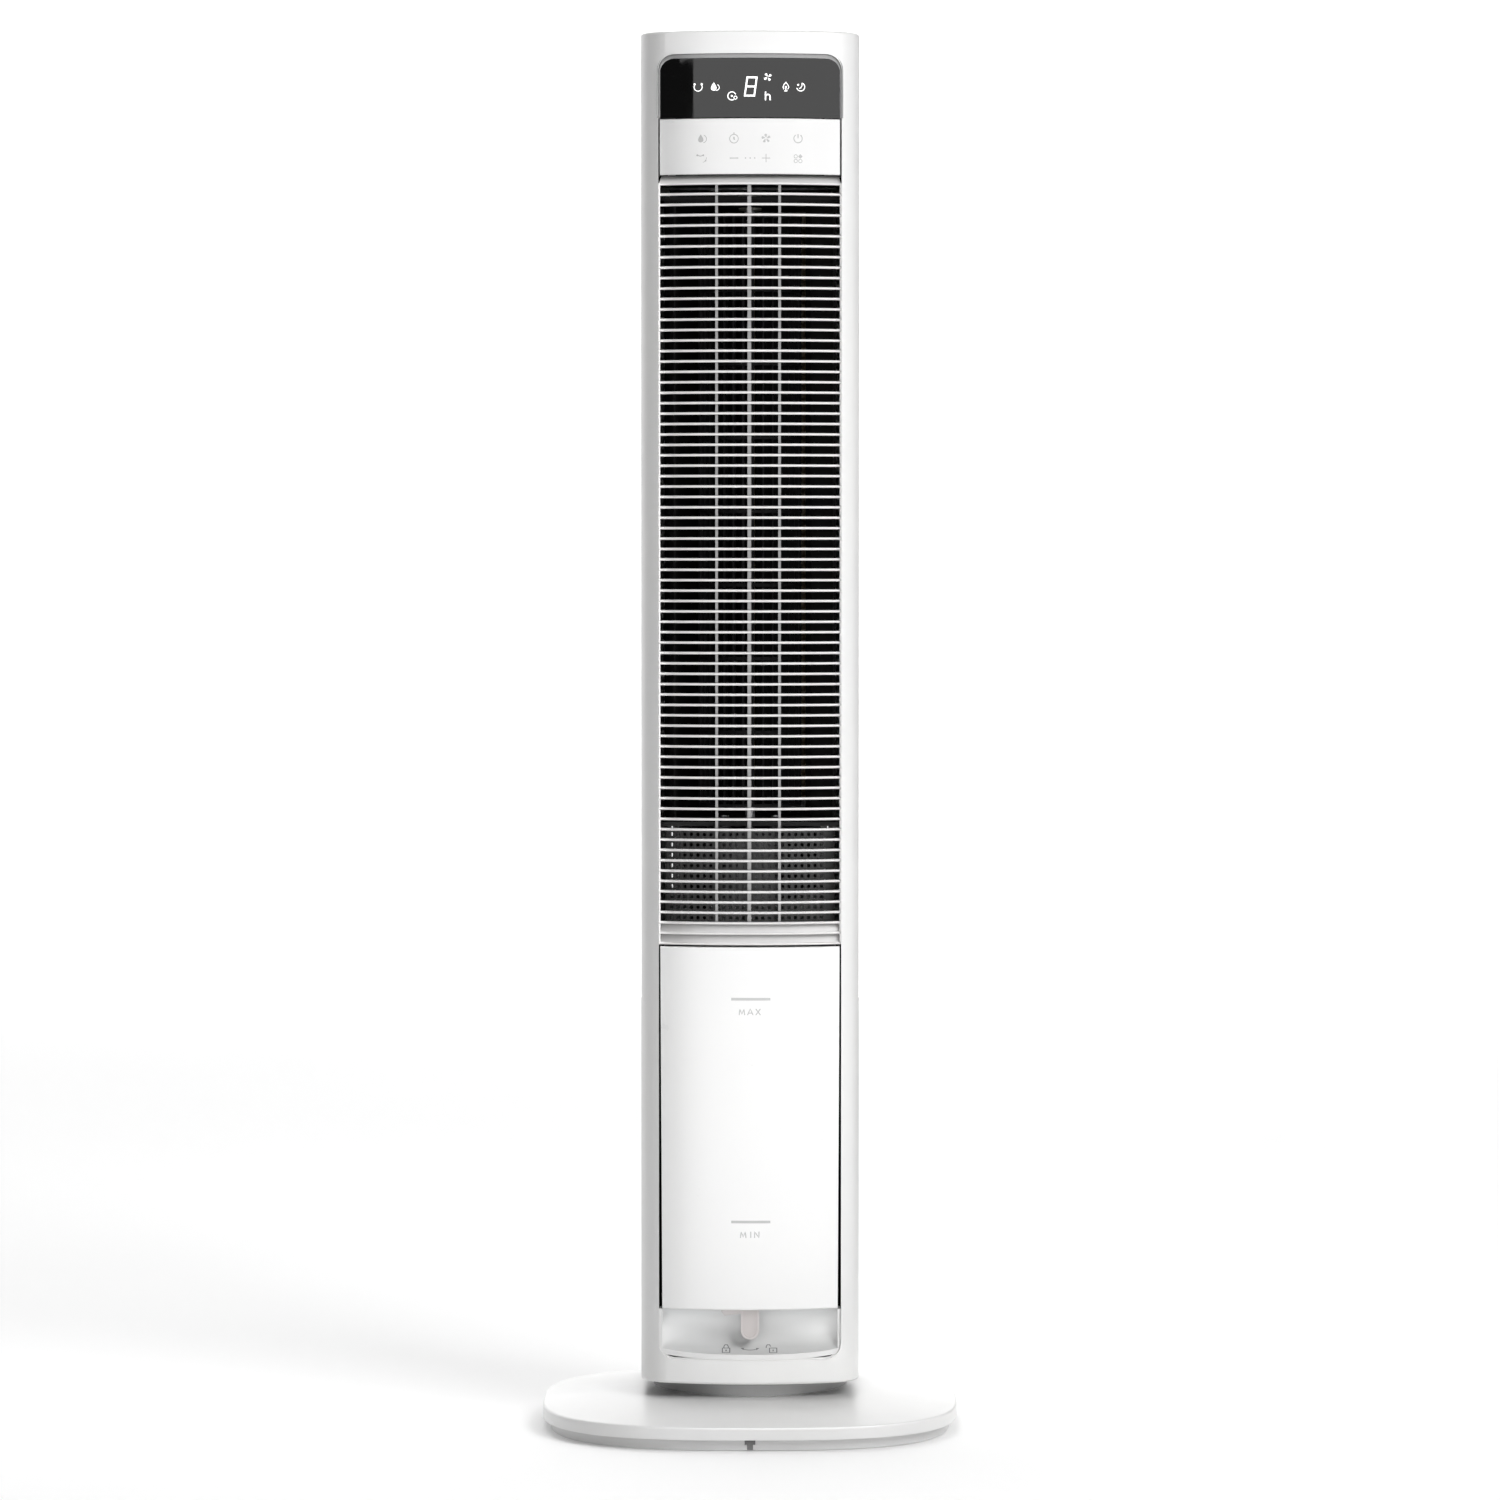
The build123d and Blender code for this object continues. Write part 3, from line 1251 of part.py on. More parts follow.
REAR_HALF = GRILLE_HALF - 0.6
rear_sweep = math.degrees(math.asin(REAR_HALF / R_REAR))
rear_plane = Plane(
    origin=(0, REAR_ARC_Y, 0),
    x_dir=(math.sin(math.radians(rear_sweep)), math.cos(math.radians(rear_sweep)), 0),
    z_dir=(math.cos(math.radians(rear_sweep)), -math.sin(math.radians(rear_sweep)), 0),
)
REAR_SLATS = 66
REAR_PITCH = 8.2
with BuildPart() as rear_grille:
    with BuildSketch(Plane.XY.offset(GRILLE_Z0 + 0.6)):
        add(rear_band(REAR_HALF, R_REAR, R_REAR - 6))
    extrude(amount=GRILLE_Z1 - GRILLE_Z0 - 1.2)
    fillet(rear_grille.edges().filter_by(Axis.Y), 7)
    with BuildSketch(Plane.XZ.offset(-120)):
        with Locations((0, (GRILLE_Z0 + GRILLE_Z1) / 2)):
            Rectangle(2 * REAR_HALF - 12, GRILLE_Z1 - GRILLE_Z0 - 13)
    extrude(amount=80, mode=Mode.SUBTRACT)
    with BuildSketch(rear_plane):
        with Locations(*[(0, GRILLE_Z0 + 10 + REAR_PITCH * k) for k in range(REAR_SLATS)]):
            add(rear_slat.sketch)
    revolve(axis=Axis((0, REAR_ARC_Y, 0), (0, 0, 1)), revolution_arc=2 * rear_sweep)
    with BuildSketch(Plane.XY.offset(GRILLE_Z0 + 2)):
        for x in (-28.0, 0.0, 28.0):
            with Locations((x, rear_y(R_REAR - 4, x) - 1)):
                Rectangle(2.4, 4)
    extrude(amount=GRILLE_Z1 - GRILLE_Z0 - 4)
save(rear_grille, "rear_grille")

with BuildPart() as filter_frame:
    with BuildSketch(Plane.XZ.offset(-67)):
        with Locations((0, 681)):
            RectangleRounded(112, 536, 5)
            Rectangle(100, 524, mode=Mode.SUBTRACT)
            for z in (-174, -58, 58, 174):
                with Locations((0, z)):
                    Rectangle(101, 2.4)
            Rectangle(2.4, 525)
    extrude(amount=4)
save(filter_frame, "filter_frame")

with BuildPart() as filter_mesh:
    with BuildSketch(Plane.XZ.offset(-63)):
        with Locations((0, 681)):
            Rectangle(108, 532)
    extrude(amount=0.5)
save(filter_mesh, "filter_mesh")

with BuildPart() as wiring_loom:
    with BuildLine():
        Polyline((GLAND_X, 71.5, GLAND_Z), (GLAND_X, 66, GLAND_Z), (-76, 40, 80), (-76, 40, 955),
                 (-60, 26, 985))
    with BuildSketch(Plane(origin=(GLAND_X, 71.5, GLAND_Z), z_dir=(0, -1, 0))):
        Circle(2.6)
    sweep(transition=Transition.ROUND)
save(wiring_loom, "wiring_loom")
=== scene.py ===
import json
import math

import bmesh
import bpy
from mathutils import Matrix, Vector


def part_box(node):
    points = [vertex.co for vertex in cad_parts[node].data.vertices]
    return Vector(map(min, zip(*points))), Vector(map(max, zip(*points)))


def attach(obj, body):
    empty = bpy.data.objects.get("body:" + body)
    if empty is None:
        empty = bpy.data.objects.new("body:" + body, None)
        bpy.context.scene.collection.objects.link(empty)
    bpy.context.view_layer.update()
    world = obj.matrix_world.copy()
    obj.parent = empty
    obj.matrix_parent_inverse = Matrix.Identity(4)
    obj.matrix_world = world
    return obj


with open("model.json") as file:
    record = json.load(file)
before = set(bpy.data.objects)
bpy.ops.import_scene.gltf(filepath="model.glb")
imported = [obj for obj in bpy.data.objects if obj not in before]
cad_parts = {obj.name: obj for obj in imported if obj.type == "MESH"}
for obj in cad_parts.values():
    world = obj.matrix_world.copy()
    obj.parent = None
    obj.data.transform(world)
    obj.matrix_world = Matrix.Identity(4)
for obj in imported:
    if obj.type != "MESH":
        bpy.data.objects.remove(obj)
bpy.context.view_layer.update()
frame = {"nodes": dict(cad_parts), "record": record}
nodes = frame["nodes"]
MM = 0.001

# ------------------------------------------------------------------ sizes read from the frame
panel_low, panel_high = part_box("control_panel")
lens_low, lens_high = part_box("display_lens")
tank_low, tank_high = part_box("tank_front")
R_FACE = 206 * MM
ARC_Y = panel_low.y + R_FACE


def arc_y(radius, x):
    """Y of the front arc of that radius at x, in metres."""
    return ARC_Y - math.sqrt(radius * radius - x * x)


# ------------------------------------------------------------------ materials
def new_material(name):
    made = bpy.data.materials.new(name)
    made.use_nodes = True
    tree = made.node_tree
    tree.nodes.clear()
    out = tree.nodes.new("ShaderNodeOutputMaterial")
    shader = tree.nodes.new("ShaderNodeBsdfPrincipled")
    tree.links.new(shader.outputs["BSDF"], out.inputs["Surface"])
    return made, tree, shader


def noise(tree, coords, scale, detail=3.0, rough=0.5):
    n = tree.nodes.new("ShaderNodeTexNoise")
    n.inputs["Scale"].default_value = scale
    n.inputs["Detail"].default_value = detail
    n.inputs["Roughness"].default_value = rough
    tree.links.new(coords, n.inputs["Vector"])
    return n.outputs["Fac"]


def spread(tree, value, low, high, from_low=0.3, from_high=0.7):
    m = tree.nodes.new("ShaderNodeMapRange")
    m.inputs["From Min"].default_value = from_low
    m.inputs["From Max"].default_value = from_high
    m.inputs["To Min"].default_value = low
    m.inputs["To Max"].default_value = high
    tree.links.new(value, m.inputs["Value"])
    return m.outputs["Result"]


def mix_colour(tree, factor, a, b):
    m = tree.nodes.new("ShaderNodeMix")
    m.data_type = "RGBA"
    tree.links.new(factor, m.inputs[0])
    for socket, value in ((m.inputs[6], a), (m.inputs[7], b)):
        if isinstance(value, tuple):
            socket.default_value = (*value, 1.0)
        else:
            tree.links.new(value, socket)
    return m.outputs[2]


def object_coords(tree):
    return tree.nodes.new("ShaderNodeTexCoord").outputs["Object"]


def nearness(tree, near, far):
    """1 on the fan's front arc down to 0 at a depth behind it, in metres."""
    value = object_coords(tree)
    for operation, amount in (("SUBTRACT", (0, ARC_Y, 0)), ("MULTIPLY", (1, 1, 0))):
        step = tree.nodes.new("ShaderNodeVectorMath")
        step.operation = operation
        step.inputs[1].default_value = amount
        tree.links.new(value, step.inputs[0])
        value = step.outputs["Vector"]
    length = tree.nodes.new("ShaderNodeVectorMath")
    length.operation = "LENGTH"
    tree.links.new(value, length.inputs[0])
    return spread(tree, length.outputs["Value"], 0.0, 1.0, R_FACE - far, R_FACE - near)


def plastic(name, colour, rough=0.36, tint=0.03, grain=900.0, bump=0.02, specular=0.5,
            wear=0.35, ior=1.46, painted_shade_depth=0.0):
    """Moulded plastic: slow tone drift, fine spark-eroded grain, faint handling gloss, softened edges, and
    optional painted shade that darkens the parts lying deeper behind the front arc.
    """
    made, tree, shader = new_material(name)
    coords = object_coords(tree)
    drift = spread(tree, noise(tree, coords, 7.0, 4.0), 0.0, 1.0)
    darker = tuple(c * (1 - tint) for c in colour)
    warm = tuple(min(1.0, c * k) for c, k in zip(colour, (1 + tint * 0.3, 1 + tint * 0.2, 1 - tint * 0.2)))
    base = mix_colour(tree, drift, darker, warm)
    # rubbed edges, and painted shade that darkens the parts lying deeper behind the front arc
    shape = tree.nodes.new("ShaderNodeNewGeometry").outputs["Pointiness"]
    edge = spread(tree, shape, 0.0, wear, 0.52, 0.62)
    pale = tuple(c + (1 - c) * 0.25 for c in colour)
    base = mix_colour(tree, edge, base, pale)
    # painted shade: the colour falls to 30 % of itself from 1.5 mm to the given depth behind the front arc
    if painted_shade_depth:
        shade_colour = tuple(c * 0.3 for c in colour)
        base = mix_colour(tree, nearness(tree, 1.5 * MM, painted_shade_depth), shade_colour, base)
    tree.links.new(base, shader.inputs["Base Color"])
    smudge = noise(tree, coords, 38.0, 5.0, 0.6)
    tree.links.new(spread(tree, smudge, rough - 0.03, rough + 0.04), shader.inputs["Roughness"])
    fine = noise(tree, coords, grain, 2.0)
    b = tree.nodes.new("ShaderNodeBump")
    b.inputs["Strength"].default_value = bump * 4
    b.inputs["Distance"].default_value = 0.0002
    tree.links.new(fine, b.inputs["Height"])
    tree.links.new(b.outputs["Normal"], shader.inputs["Normal"])
    shader.inputs["Specular IOR Level"].default_value = specular
    shader.inputs["IOR"].default_value = ior
    return made


BRUSH_SCALE = (40.0, 40.0, 900.0)


def metal(name, colour, rough):
    """Metal with fine upright brush lines."""
    made, tree, shader = new_material(name)
    coords = object_coords(tree)
    stretch = tree.nodes.new("ShaderNodeMapping")
    stretch.inputs["Scale"].default_value = BRUSH_SCALE
    tree.links.new(coords, stretch.inputs["Vector"])
    lines = noise(tree, stretch.outputs["Vector"], 1.0, 4.0)
    base = mix_colour(tree, spread(tree, lines, 0.0, 1.0), tuple(c * 0.8 for c in colour), colour)
    tree.links.new(base, shader.inputs["Base Color"])
    tree.links.new(spread(tree, lines, rough - 0.08, rough + 0.12), shader.inputs["Roughness"])
    shader.inputs["Metallic"].default_value = 1.0
    b = tree.nodes.new("ShaderNodeBump")
    b.inputs["Strength"].default_value = 0.2
    b.inputs["Distance"].default_value = 0.0001
    tree.links.new(lines, b.inputs["Height"])
    tree.links.new(b.outputs["Normal"], shader.inputs["Normal"])
    return made


WHITE = (0.80, 0.80, 0.80)
materials = {
    "housing_white": plastic("housing_white", WHITE, 0.34),
    "base_white": plastic("base_white", (0.66, 0.66, 0.66), 0.36),
    "tank_white": plastic("tank_white", (0.86, 0.86, 0.86), 0.3, 0.015, bump=0.01),
    "apron_white": plastic("apron_white", (0.74, 0.74, 0.74), 0.42),
    "panel_white": plastic("panel_white", (0.77, 0.77, 0.77), 0.3, 0.015, bump=0.01),
    # painted shade darkens the grille's recesses and slat undersides down to 5 mm behind the front arc
    "grille_white": plastic("grille_white", (0.80, 0.79, 0.79), 0.33, painted_shade_depth=5 * MM),
    "rear_grille_white": plastic("rear_grille_white", (0.78, 0.78, 0.78), 0.38),
    "tank_cover_white": plastic("tank_cover_white", (0.75, 0.76, 0.76), 0.4),
    "display_window": plastic("display_window", (0.0035, 0.0035, 0.0037), 0.035, 0.2, bump=0.001,
                              specular=0.5, wear=0.0, ior=1.235),
    "black_plastic": plastic("black_plastic", (0.003, 0.003, 0.003), 0.7, 0.2, specular=0.08, wear=0.03),
    "wheel_black": plastic("wheel_black", (0.003, 0.003, 0.0035), 0.65, 0.2, specular=0.08, wear=0.03),
    "black_sheath": plastic("black_sheath", (0.005, 0.005, 0.005), 0.65, 0.2, specular=0.1, wear=0.03),
    "guard_dark": plastic("guard_dark", (0.012, 0.012, 0.0125), 0.5, 0.2, specular=0.2, wear=0.1),
    "filter_plastic": plastic("filter_plastic", (0.08, 0.08, 0.085), 0.5, 0.15),
    "lever_grey": plastic("lever_grey", (0.50, 0.465, 0.46), 0.36, 0.04),
    "neck_grey": plastic("neck_grey", (0.22, 0.22, 0.222), 0.5, 0.08),
    "bearing_nylon": plastic("bearing_nylon", (0.70, 0.68, 0.6), 0.42, 0.05),
    "rubber": plastic("rubber", (0.07, 0.07, 0.07), 0.7, 0.2, bump=0.06),
    "tank_clear": plastic("tank_clear", (0.62, 0.68, 0.71), 0.34, 0.04),
    "hose_clear": plastic("hose_clear", (0.7, 0.72, 0.72), 0.36, 0.04),
    "filter_cloth": plastic("filter_cloth", (0.03, 0.03, 0.034), 0.85, 0.3, grain=500.0, bump=0.2, wear=0.1),
    "pad_paper": plastic("pad_paper", (0.36, 0.27, 0.15), 0.8, 0.25, grain=160.0, bump=0.5, wear=0.3),
    "circuit_board": plastic("circuit_board", (0.02, 0.12, 0.045), 0.4, 0.3),
    "steel": metal("steel", (0.42, 0.42, 0.43), 0.5),
    "motor_steel": metal("motor_steel", (0.1, 0.1, 0.105), 0.55),
    "cast_weight": metal("cast_weight", (0.16, 0.16, 0.17), 0.6),
}
CAD_SHARP_ANGLE = 28
slot_of = {s["node"]: s["material_slot"] for s in frame["record"]["subparts"]}
painted = {"motor_bracket": plastic("bracket_paint", (0.01, 0.01, 0.01), 0.6, 0.2, specular=0.1, wear=0.1)}
for name, node in nodes.items():
    node.data.materials.clear()
    node.data.materials.append(painted.get(name) or materials[slot_of[name]])
    node.data.shade_smooth()
    node.data.set_sharp_from_angle(angle=math.radians(CAD_SHARP_ANGLE))


# ------------------------------------------------------------------ printed and lit marks
def finer(points, step=2.4):
    """Open line with extra points, so that no run is longer than the step."""
    made = [points[0]]
    for (ax, az), (bx, bz) in zip(points, points[1:]):
        parts = max(1, math.ceil(math.hypot(bx - ax, bz - az) / step))
        made += [(ax + (bx - ax) * i / parts, az + (bz - az) * i / parts) for i in range(1, parts + 1)]
    return made


class Marks:
    """Thin closed solids drawn in millimetres on a bent face; place(x, z, lift) gives a point in metres."""

    def __init__(self, place, thick=0.09):
        self.bm = bmesh.new()
        self.place = place
        self.thick = thick

    def _pair(self, x, z):
        return (self.bm.verts.new(self.place(x, z, self.thick)), self.bm.verts.new(self.place(x, z, -0.04)))

    def fill(self, outline):
        pairs = [self._pair(x, z) for x, z in outline]
        self.bm.faces.new([p[0] for p in pairs])
        self.bm.faces.new([p[1] for p in reversed(pairs)])
        for a, b in zip(pairs, pairs[1:] + pairs[:1]):
            self.bm.faces.new((a[0], a[1], b[1], b[0]))

    def stroke(self, points, width, closed=False):
        half = width / 2
        if not closed:
            points = finer(points)
        sides = []
        count = len(points)
        for i, (x, z) in enumerate(points):
            before = points[i - 1] if i or closed else None
            after = points[(i + 1) % count] if i < count - 1 or closed else None
            runs = []
            if before:
                runs.append((x - before[0], z - before[1]))
            if after:
                runs.append((after[0] - x, after[1] - z))
            normals = []
            for dx, dz in runs:
                length = math.hypot(dx, dz) or 1.0
                normals.append((-dz / length, dx / length))
            nx = sum(n[0] for n in normals) / len(normals)
            nz = sum(n[1] for n in normals) / len(normals)
            size = max(0.45, nx * nx + nz * nz)
            nx, nz = nx / size, nz / size
            sides.append((self._pair(x + nx * half, z + nz * half), self._pair(x - nx * half, z - nz * half)))
        pairs = list(zip(sides, sides[1:]))
        if closed:
            pairs.append((sides[-1], sides[0]))
        for (la, ra), (lb, rb) in pairs:
            self.bm.faces.new((la[0], ra[0], rb[0], lb[0]))
            self.bm.faces.new((la[1], lb[1], rb[1], ra[1]))
            self.bm.faces.new((la[0], lb[0], lb[1], la[1]))
            self.bm.faces.new((ra[0], ra[1], rb[1], rb[0]))
        if not closed:
            for left, right in (sides[0], sides[-1]):
                self.bm.faces.new((left[0], left[1], right[1], right[0]))

    def arc(self, cx, cz, r, start, end, width, steps=20, squash=1.0):
        turn = end - start
        closed = abs(turn) >= 360
        count = steps if closed else steps + 1
        points = []
        for i in range(count):
            a = math.radians(start + turn * i / steps)
            points.append((cx + r * math.cos(a), cz + r * squash * math.sin(a)))
        self.stroke(points, width, closed)

    def disc(self, cx, cz, r, steps=16):
        self.fill([(cx + r * math.cos(2 * math.pi * i / steps), cz + r * math.sin(2 * math.pi * i / steps))
                   for i in range(steps)])

    def finish(self, name, material, body):
        bmesh.ops.recalc_face_normals(self.bm, faces=self.bm.faces)
        mesh = bpy.data.meshes.new(name)
        self.bm.to_mesh(mesh)
        self.bm.free()
        made = bpy.data.objects.new(name, mesh)
        bpy.context.scene.collection.objects.link(made)
        mesh.materials.append(material)
        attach(made, body)
        return made


def on_face(x, z, lift):
    x, z, lift = x * MM, z * MM, lift * MM
    return Vector((x, arc_y(R_FACE + lift, x), z))


def drop_outline(cx, cz, width, height, steps=22):
    """Water drop with a round belly and a pointed top."""
    points = []
    for i in range(steps):
        a = 2 * math.pi * i / steps
        px = math.sin(a) * math.sin(a / 2) ** 1.4
        pz = -math.cos(a)
        points.append((cx + px * width * 0.62, cz - pz * height / 2))
    return points


def fan_blades(marks, cx, cz, size, count=4, turn=20.0):
    for k in range(count):
        a0 = math.radians(turn + 360 / count * k)
        outline = []
        for r, d in ((0.12, 0.0), (0.5, 0.55), (0.86, 0.62), (1.0, 0.3), (0.96, -0.05), (0.55, -0.18)):
            outline.append((cx + size * r * math.cos(a0 + d), cz + size * r * math.sin(a0 + d)))
        marks.fill(outline)


ink_grey = plastic("ink_grey", (0.34, 0.34, 0.345), 0.5, 0.1, grain=2500.0)
ink_pale = plastic("ink_pale", (0.43, 0.43, 0.435), 0.5, 0.1, grain=2500.0)
ink_dark = plastic("ink_dark", (0.16, 0.16, 0.165), 0.5, 0.1, grain=2500.0)


def lit_material():
    made, tree, shader = new_material("display_light")
    coords = object_coords(tree)
    glow = spread(tree, noise(tree, coords, 260.0, 2.0), 0.9, 1.05)
    shader.inputs["Base Color"].default_value = (0.8, 0.8, 0.8, 1)
    glow_colour = mix_colour(tree, glow, (0.75, 0.78, 0.8), (1.0, 1.0, 1.0))
    tree.links.new(glow_colour, shader.inputs["Emission Color"])
    shader.inputs["Emission Strength"].default_value = 0.95
    shader.inputs["Roughness"].default_value = 0.4
    return made


# the touch panel's keys: two rows of four, with three dots between minus and plus
PANEL_MID = (panel_low.z + panel_high.z) / 2 / MM
KEY_STEP = 24.4
KEY_X = [-36.6 + KEY_STEP * i for i in range(4)]
ROW_TOP = PANEL_MID + 5.9
ROW_LOW = PANEL_MID - 9.1
keys = Marks(on_face)
keys.fill(drop_outline(KEY_X[0] - 0.9, ROW_TOP + 0.2, 4.6, 6.2))
keys.arc(KEY_X[0] + 0.6, ROW_TOP - 0.3, 2.9, -80, 75, 0.55)
keys.arc(KEY_X[1], ROW_TOP - 0.3, 3.3, 0, 360, 0.65)
keys.stroke([(KEY_X[1], ROW_TOP + 1.2), (KEY_X[1], ROW_TOP - 0.8)], 1.1)
keys.stroke([(KEY_X[1] + 0.8, ROW_TOP - 0.9), (KEY_X[1], ROW_TOP - 0.9)], 0.7)
keys.stroke([(KEY_X[1], ROW_TOP + 3.2), (KEY_X[1], ROW_TOP + 4.5)], 0.7)
keys.arc(KEY_X[3], ROW_TOP, 3.2, 125, 415, 0.75)
keys.stroke([(KEY_X[3], ROW_TOP + 3.4), (KEY_X[3], ROW_TOP + 0.2)], 0.8)
fan_blades(keys, KEY_X[2], ROW_TOP, 3.5, 5, 10)
keys.arc(KEY_X[0] - 1.2, ROW_LOW + 4.4, 2.7, 215, 325, 0.6)
keys.arc(KEY_X[0] - 0.2, ROW_LOW + 0.4, 3.6, -75, 5, 0.35)
keys.disc(KEY_X[0] - 3.6, ROW_LOW + 2.3, 0.7)
keys.disc(KEY_X[0] + 1.0, ROW_LOW + 2.3, 0.7)
keys.disc(KEY_X[0] + 2.8, ROW_LOW - 1.8, 0.6)
keys.stroke([(KEY_X[1] - 3.3, ROW_LOW), (KEY_X[1] + 3.3, ROW_LOW)], 0.8)
keys.stroke([(KEY_X[2] - 3.2, ROW_LOW), (KEY_X[2] + 3.2, ROW_LOW)], 0.6)
keys.stroke([(KEY_X[2], ROW_LOW - 3.2), (KEY_X[2], ROW_LOW + 3.2)], 0.6)
for step in (-1, 0, 1):
    keys.disc(0.1 + 3.5 * step, ROW_LOW, 0.55)
for sx, sz in ((-1, 1), (-1, -1), (1, -1)):
    keys.arc(KEY_X[3] + 1.75 * sx, ROW_LOW - 0.3 + 1.75 * sz, 1.3, 0, 360, 0.5, 14)
keys.fill([(KEY_X[3] + 1.75 + 1.75 * dx, ROW_LOW + 1.45 + 1.75 * dz)
           for dx, dz in ((1, 0), (0, 1), (-1, 0), (0, -1))])
keys.finish("touch_key_marks", ink_grey, "tower")

# the display's lit symbols
LENS_MID = (lens_low.z + lens_high.z) / 2 / MM + 0.8
LOW_Z = LENS_MID - 7.1
lit = Marks(on_face, 0.05)
SWING_X = -39.5
lit.arc(SWING_X, LENS_MID - 0.1, 3.1, 150, 390, 0.6)
lit.disc(SWING_X - 2.7, LENS_MID + 2.0, 0.8)
lit.disc(SWING_X + 2.7, LENS_MID + 2.0, 0.8)
DROP_X = -27.6
lit.fill(drop_outline(DROP_X, LENS_MID + 0.2, 4.8, 6.4))
lit.arc(DROP_X + 2.0, LENS_MID - 0.6, 2.2, -100, 70, 0.5)
TIMER_X = -13.8
lit.arc(TIMER_X, LOW_Z, 3.1, 20, 300, 0.65)
lit.disc(TIMER_X, LOW_Z, 0.75)
lit.arc(TIMER_X + 2.7, LOW_Z - 1.3, 1.2, 0, 360, 0.5, 14)
SLANT = 0.14
DIGIT_HALF = 6.9
for level in (-1, 0, 1):
    z = LENS_MID + DIGIT_HALF * level
    x = 0.6 + SLANT * DIGIT_HALF * level
    lit.stroke([(x - 4.2, z), (x + 4.2, z)] if level else [(x - 3.0, z), (x + 3.0, z)], 1.3)
for side in (-1, 1):
    a, b = -DIGIT_HALF - 0.6, DIGIT_HALF + 0.6
    x = 0.6 + 3.6 * side
    lit.stroke([(x + SLANT * a, LENS_MID + a), (x + SLANT * b, LENS_MID + b)], 1.2)
H_X = 13.5
fan_blades(lit, H_X, LENS_MID + 7.2, 3.2, 4, 20)
lit.stroke([(H_X - 1.7, LOW_Z + 3.3), (H_X - 1.7, LOW_Z - 3.3)], 0.95)
lit.stroke([(H_X - 1.4, LOW_Z + 0.2), (H_X - 0.6, LOW_Z + 1.0), (H_X + 0.4, LOW_Z + 1.2),
            (H_X + 1.4, LOW_Z + 0.7), (H_X + 1.8, LOW_Z - 0.5), (H_X + 1.8, LOW_Z - 3.3)], 0.9)
LEAF_X = 27.3
lit.stroke([(LEAF_X - 1.4, LENS_MID - 2.0), (LEAF_X - 2.2, LENS_MID - 0.4), (LEAF_X - 1.5, LENS_MID + 1.6),
            (LEAF_X, LENS_MID + 3.2), (LEAF_X + 1.5, LENS_MID + 1.6), (LEAF_X + 2.2, LENS_MID - 0.4),
            (LEAF_X + 1.4, LENS_MID - 2.0)], 0.55)
lit.disc(LEAF_X, LENS_MID - 0.2, 0.75)
lit.stroke([(LEAF_X, LENS_MID - 0.9), (LEAF_X, LENS_MID - 2.9)], 0.7)
lit.stroke([(LEAF_X - 1.1, LENS_MID - 3.2), (LEAF_X + 1.1, LENS_MID - 3.2)], 0.7)
MOON_X = 38.6
lit.arc(MOON_X, LENS_MID, 3.1, -165, 70, 0.6)
lit.arc(MOON_X - 2.0, LENS_MID + 1.6, 3.0, -75, 20, 0.5)
lit.disc(MOON_X - 1.9, LENS_MID + 1.5, 0.75)
lit.finish("display_symbols", lit_material(), "tower")

# grey strip along the window's edge, lining the gap up to the bezel: its grey is painted shade on the
# opening's inner wall and a painted reflection on the window's bevel
EDGE_HALF = 70.0
EDGE_TOP = lens_high.z / MM + 3.4
EDGE_R = 12.0
EDGE_FOOT = lens_low.z / MM
EDGE_SHARP_ANGLE = 35
EDGE_SIDE_STEPS = 4
EDGE_CORNER_STEPS = 8
EDGE_TOP_STEPS = 40
edge_path = []
for i in range(EDGE_SIDE_STEPS):
    z = EDGE_FOOT + (EDGE_TOP - EDGE_R - EDGE_FOOT) * i / EDGE_SIDE_STEPS
    edge_path.append((-EDGE_HALF, z, -1.0, 0.0))
for i in range(EDGE_CORNER_STEPS + 1):
    a = math.radians(180 - 90 * i / EDGE_CORNER_STEPS)
    edge_path.append((-EDGE_HALF + EDGE_R + EDGE_R * math.cos(a), EDGE_TOP - EDGE_R + EDGE_R * math.sin(a),
                      math.cos(a), math.sin(a)))
SPAN = 2 * (EDGE_HALF - EDGE_R)
left_side = list(edge_path)
for i in range(1, EDGE_TOP_STEPS):
    edge_path.append((-EDGE_HALF + EDGE_R + SPAN * i / EDGE_TOP_STEPS, EDGE_TOP, 0.0, 1.0))
edge_path += [(-x, z, -nx, nz) for x, z, nx, nz in reversed(left_side)]
EDGE_TOP_LAP = 1.9
# across the strip: outwards from the opening's wall, extra inwards at the top, height over the window
EDGE_PROFILE = ((-1.35, 1.0, -0.5), (-1.35, 1.0, 0.05), (-0.85, 1.0, 0.3), (-0.4, 0.0, 0.25),
                (-0.08, 0.0, 0.75), (0.16, 0.0, 1.68), (0.58, 0.0, 2.2), (0.95, 0.0, 2.42),
                (1.2, 0.0, 1.2), (0.3, 0.0, -0.5))
edge_bm = bmesh.new()
rings = []
for x, z, nx, nz in edge_path:
    ring = []
    for out, more, lift in EDGE_PROFILE:
        push = out - more * EDGE_TOP_LAP * max(0.0, nz)
        ring.append(edge_bm.verts.new(on_face(x + nx * push, z + nz * push, lift)))
    rings.append(ring)
for ra, rb in zip(rings, rings[1:]):
    for k in range(len(ra)):
        n = (k + 1) % len(ra)
        edge_bm.faces.new((ra[k], ra[n], rb[n], rb[k]))
edge_bm.faces.new(rings[0])
edge_bm.faces.new(list(reversed(rings[-1])))
bmesh.ops.recalc_face_normals(edge_bm, faces=edge_bm.faces)
edge_mesh = bpy.data.meshes.new("window_edge")
edge_bm.to_mesh(edge_mesh)
edge_bm.free()
window_edge = bpy.data.objects.new("window_edge", edge_mesh)
bpy.context.scene.collection.objects.link(window_edge)
# grey colour painted in for the shade in the gap and the reflection on the window's bevel
edge_mesh.materials.append(plastic("window_edge_painted_shade_and_reflection", (0.17, 0.17, 0.172), 0.3, 0.05))
edge_mesh.shade_smooth()
edge_mesh.set_sharp_from_angle(angle=math.radians(EDGE_SHARP_ANGLE))
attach(window_edge, "tower")

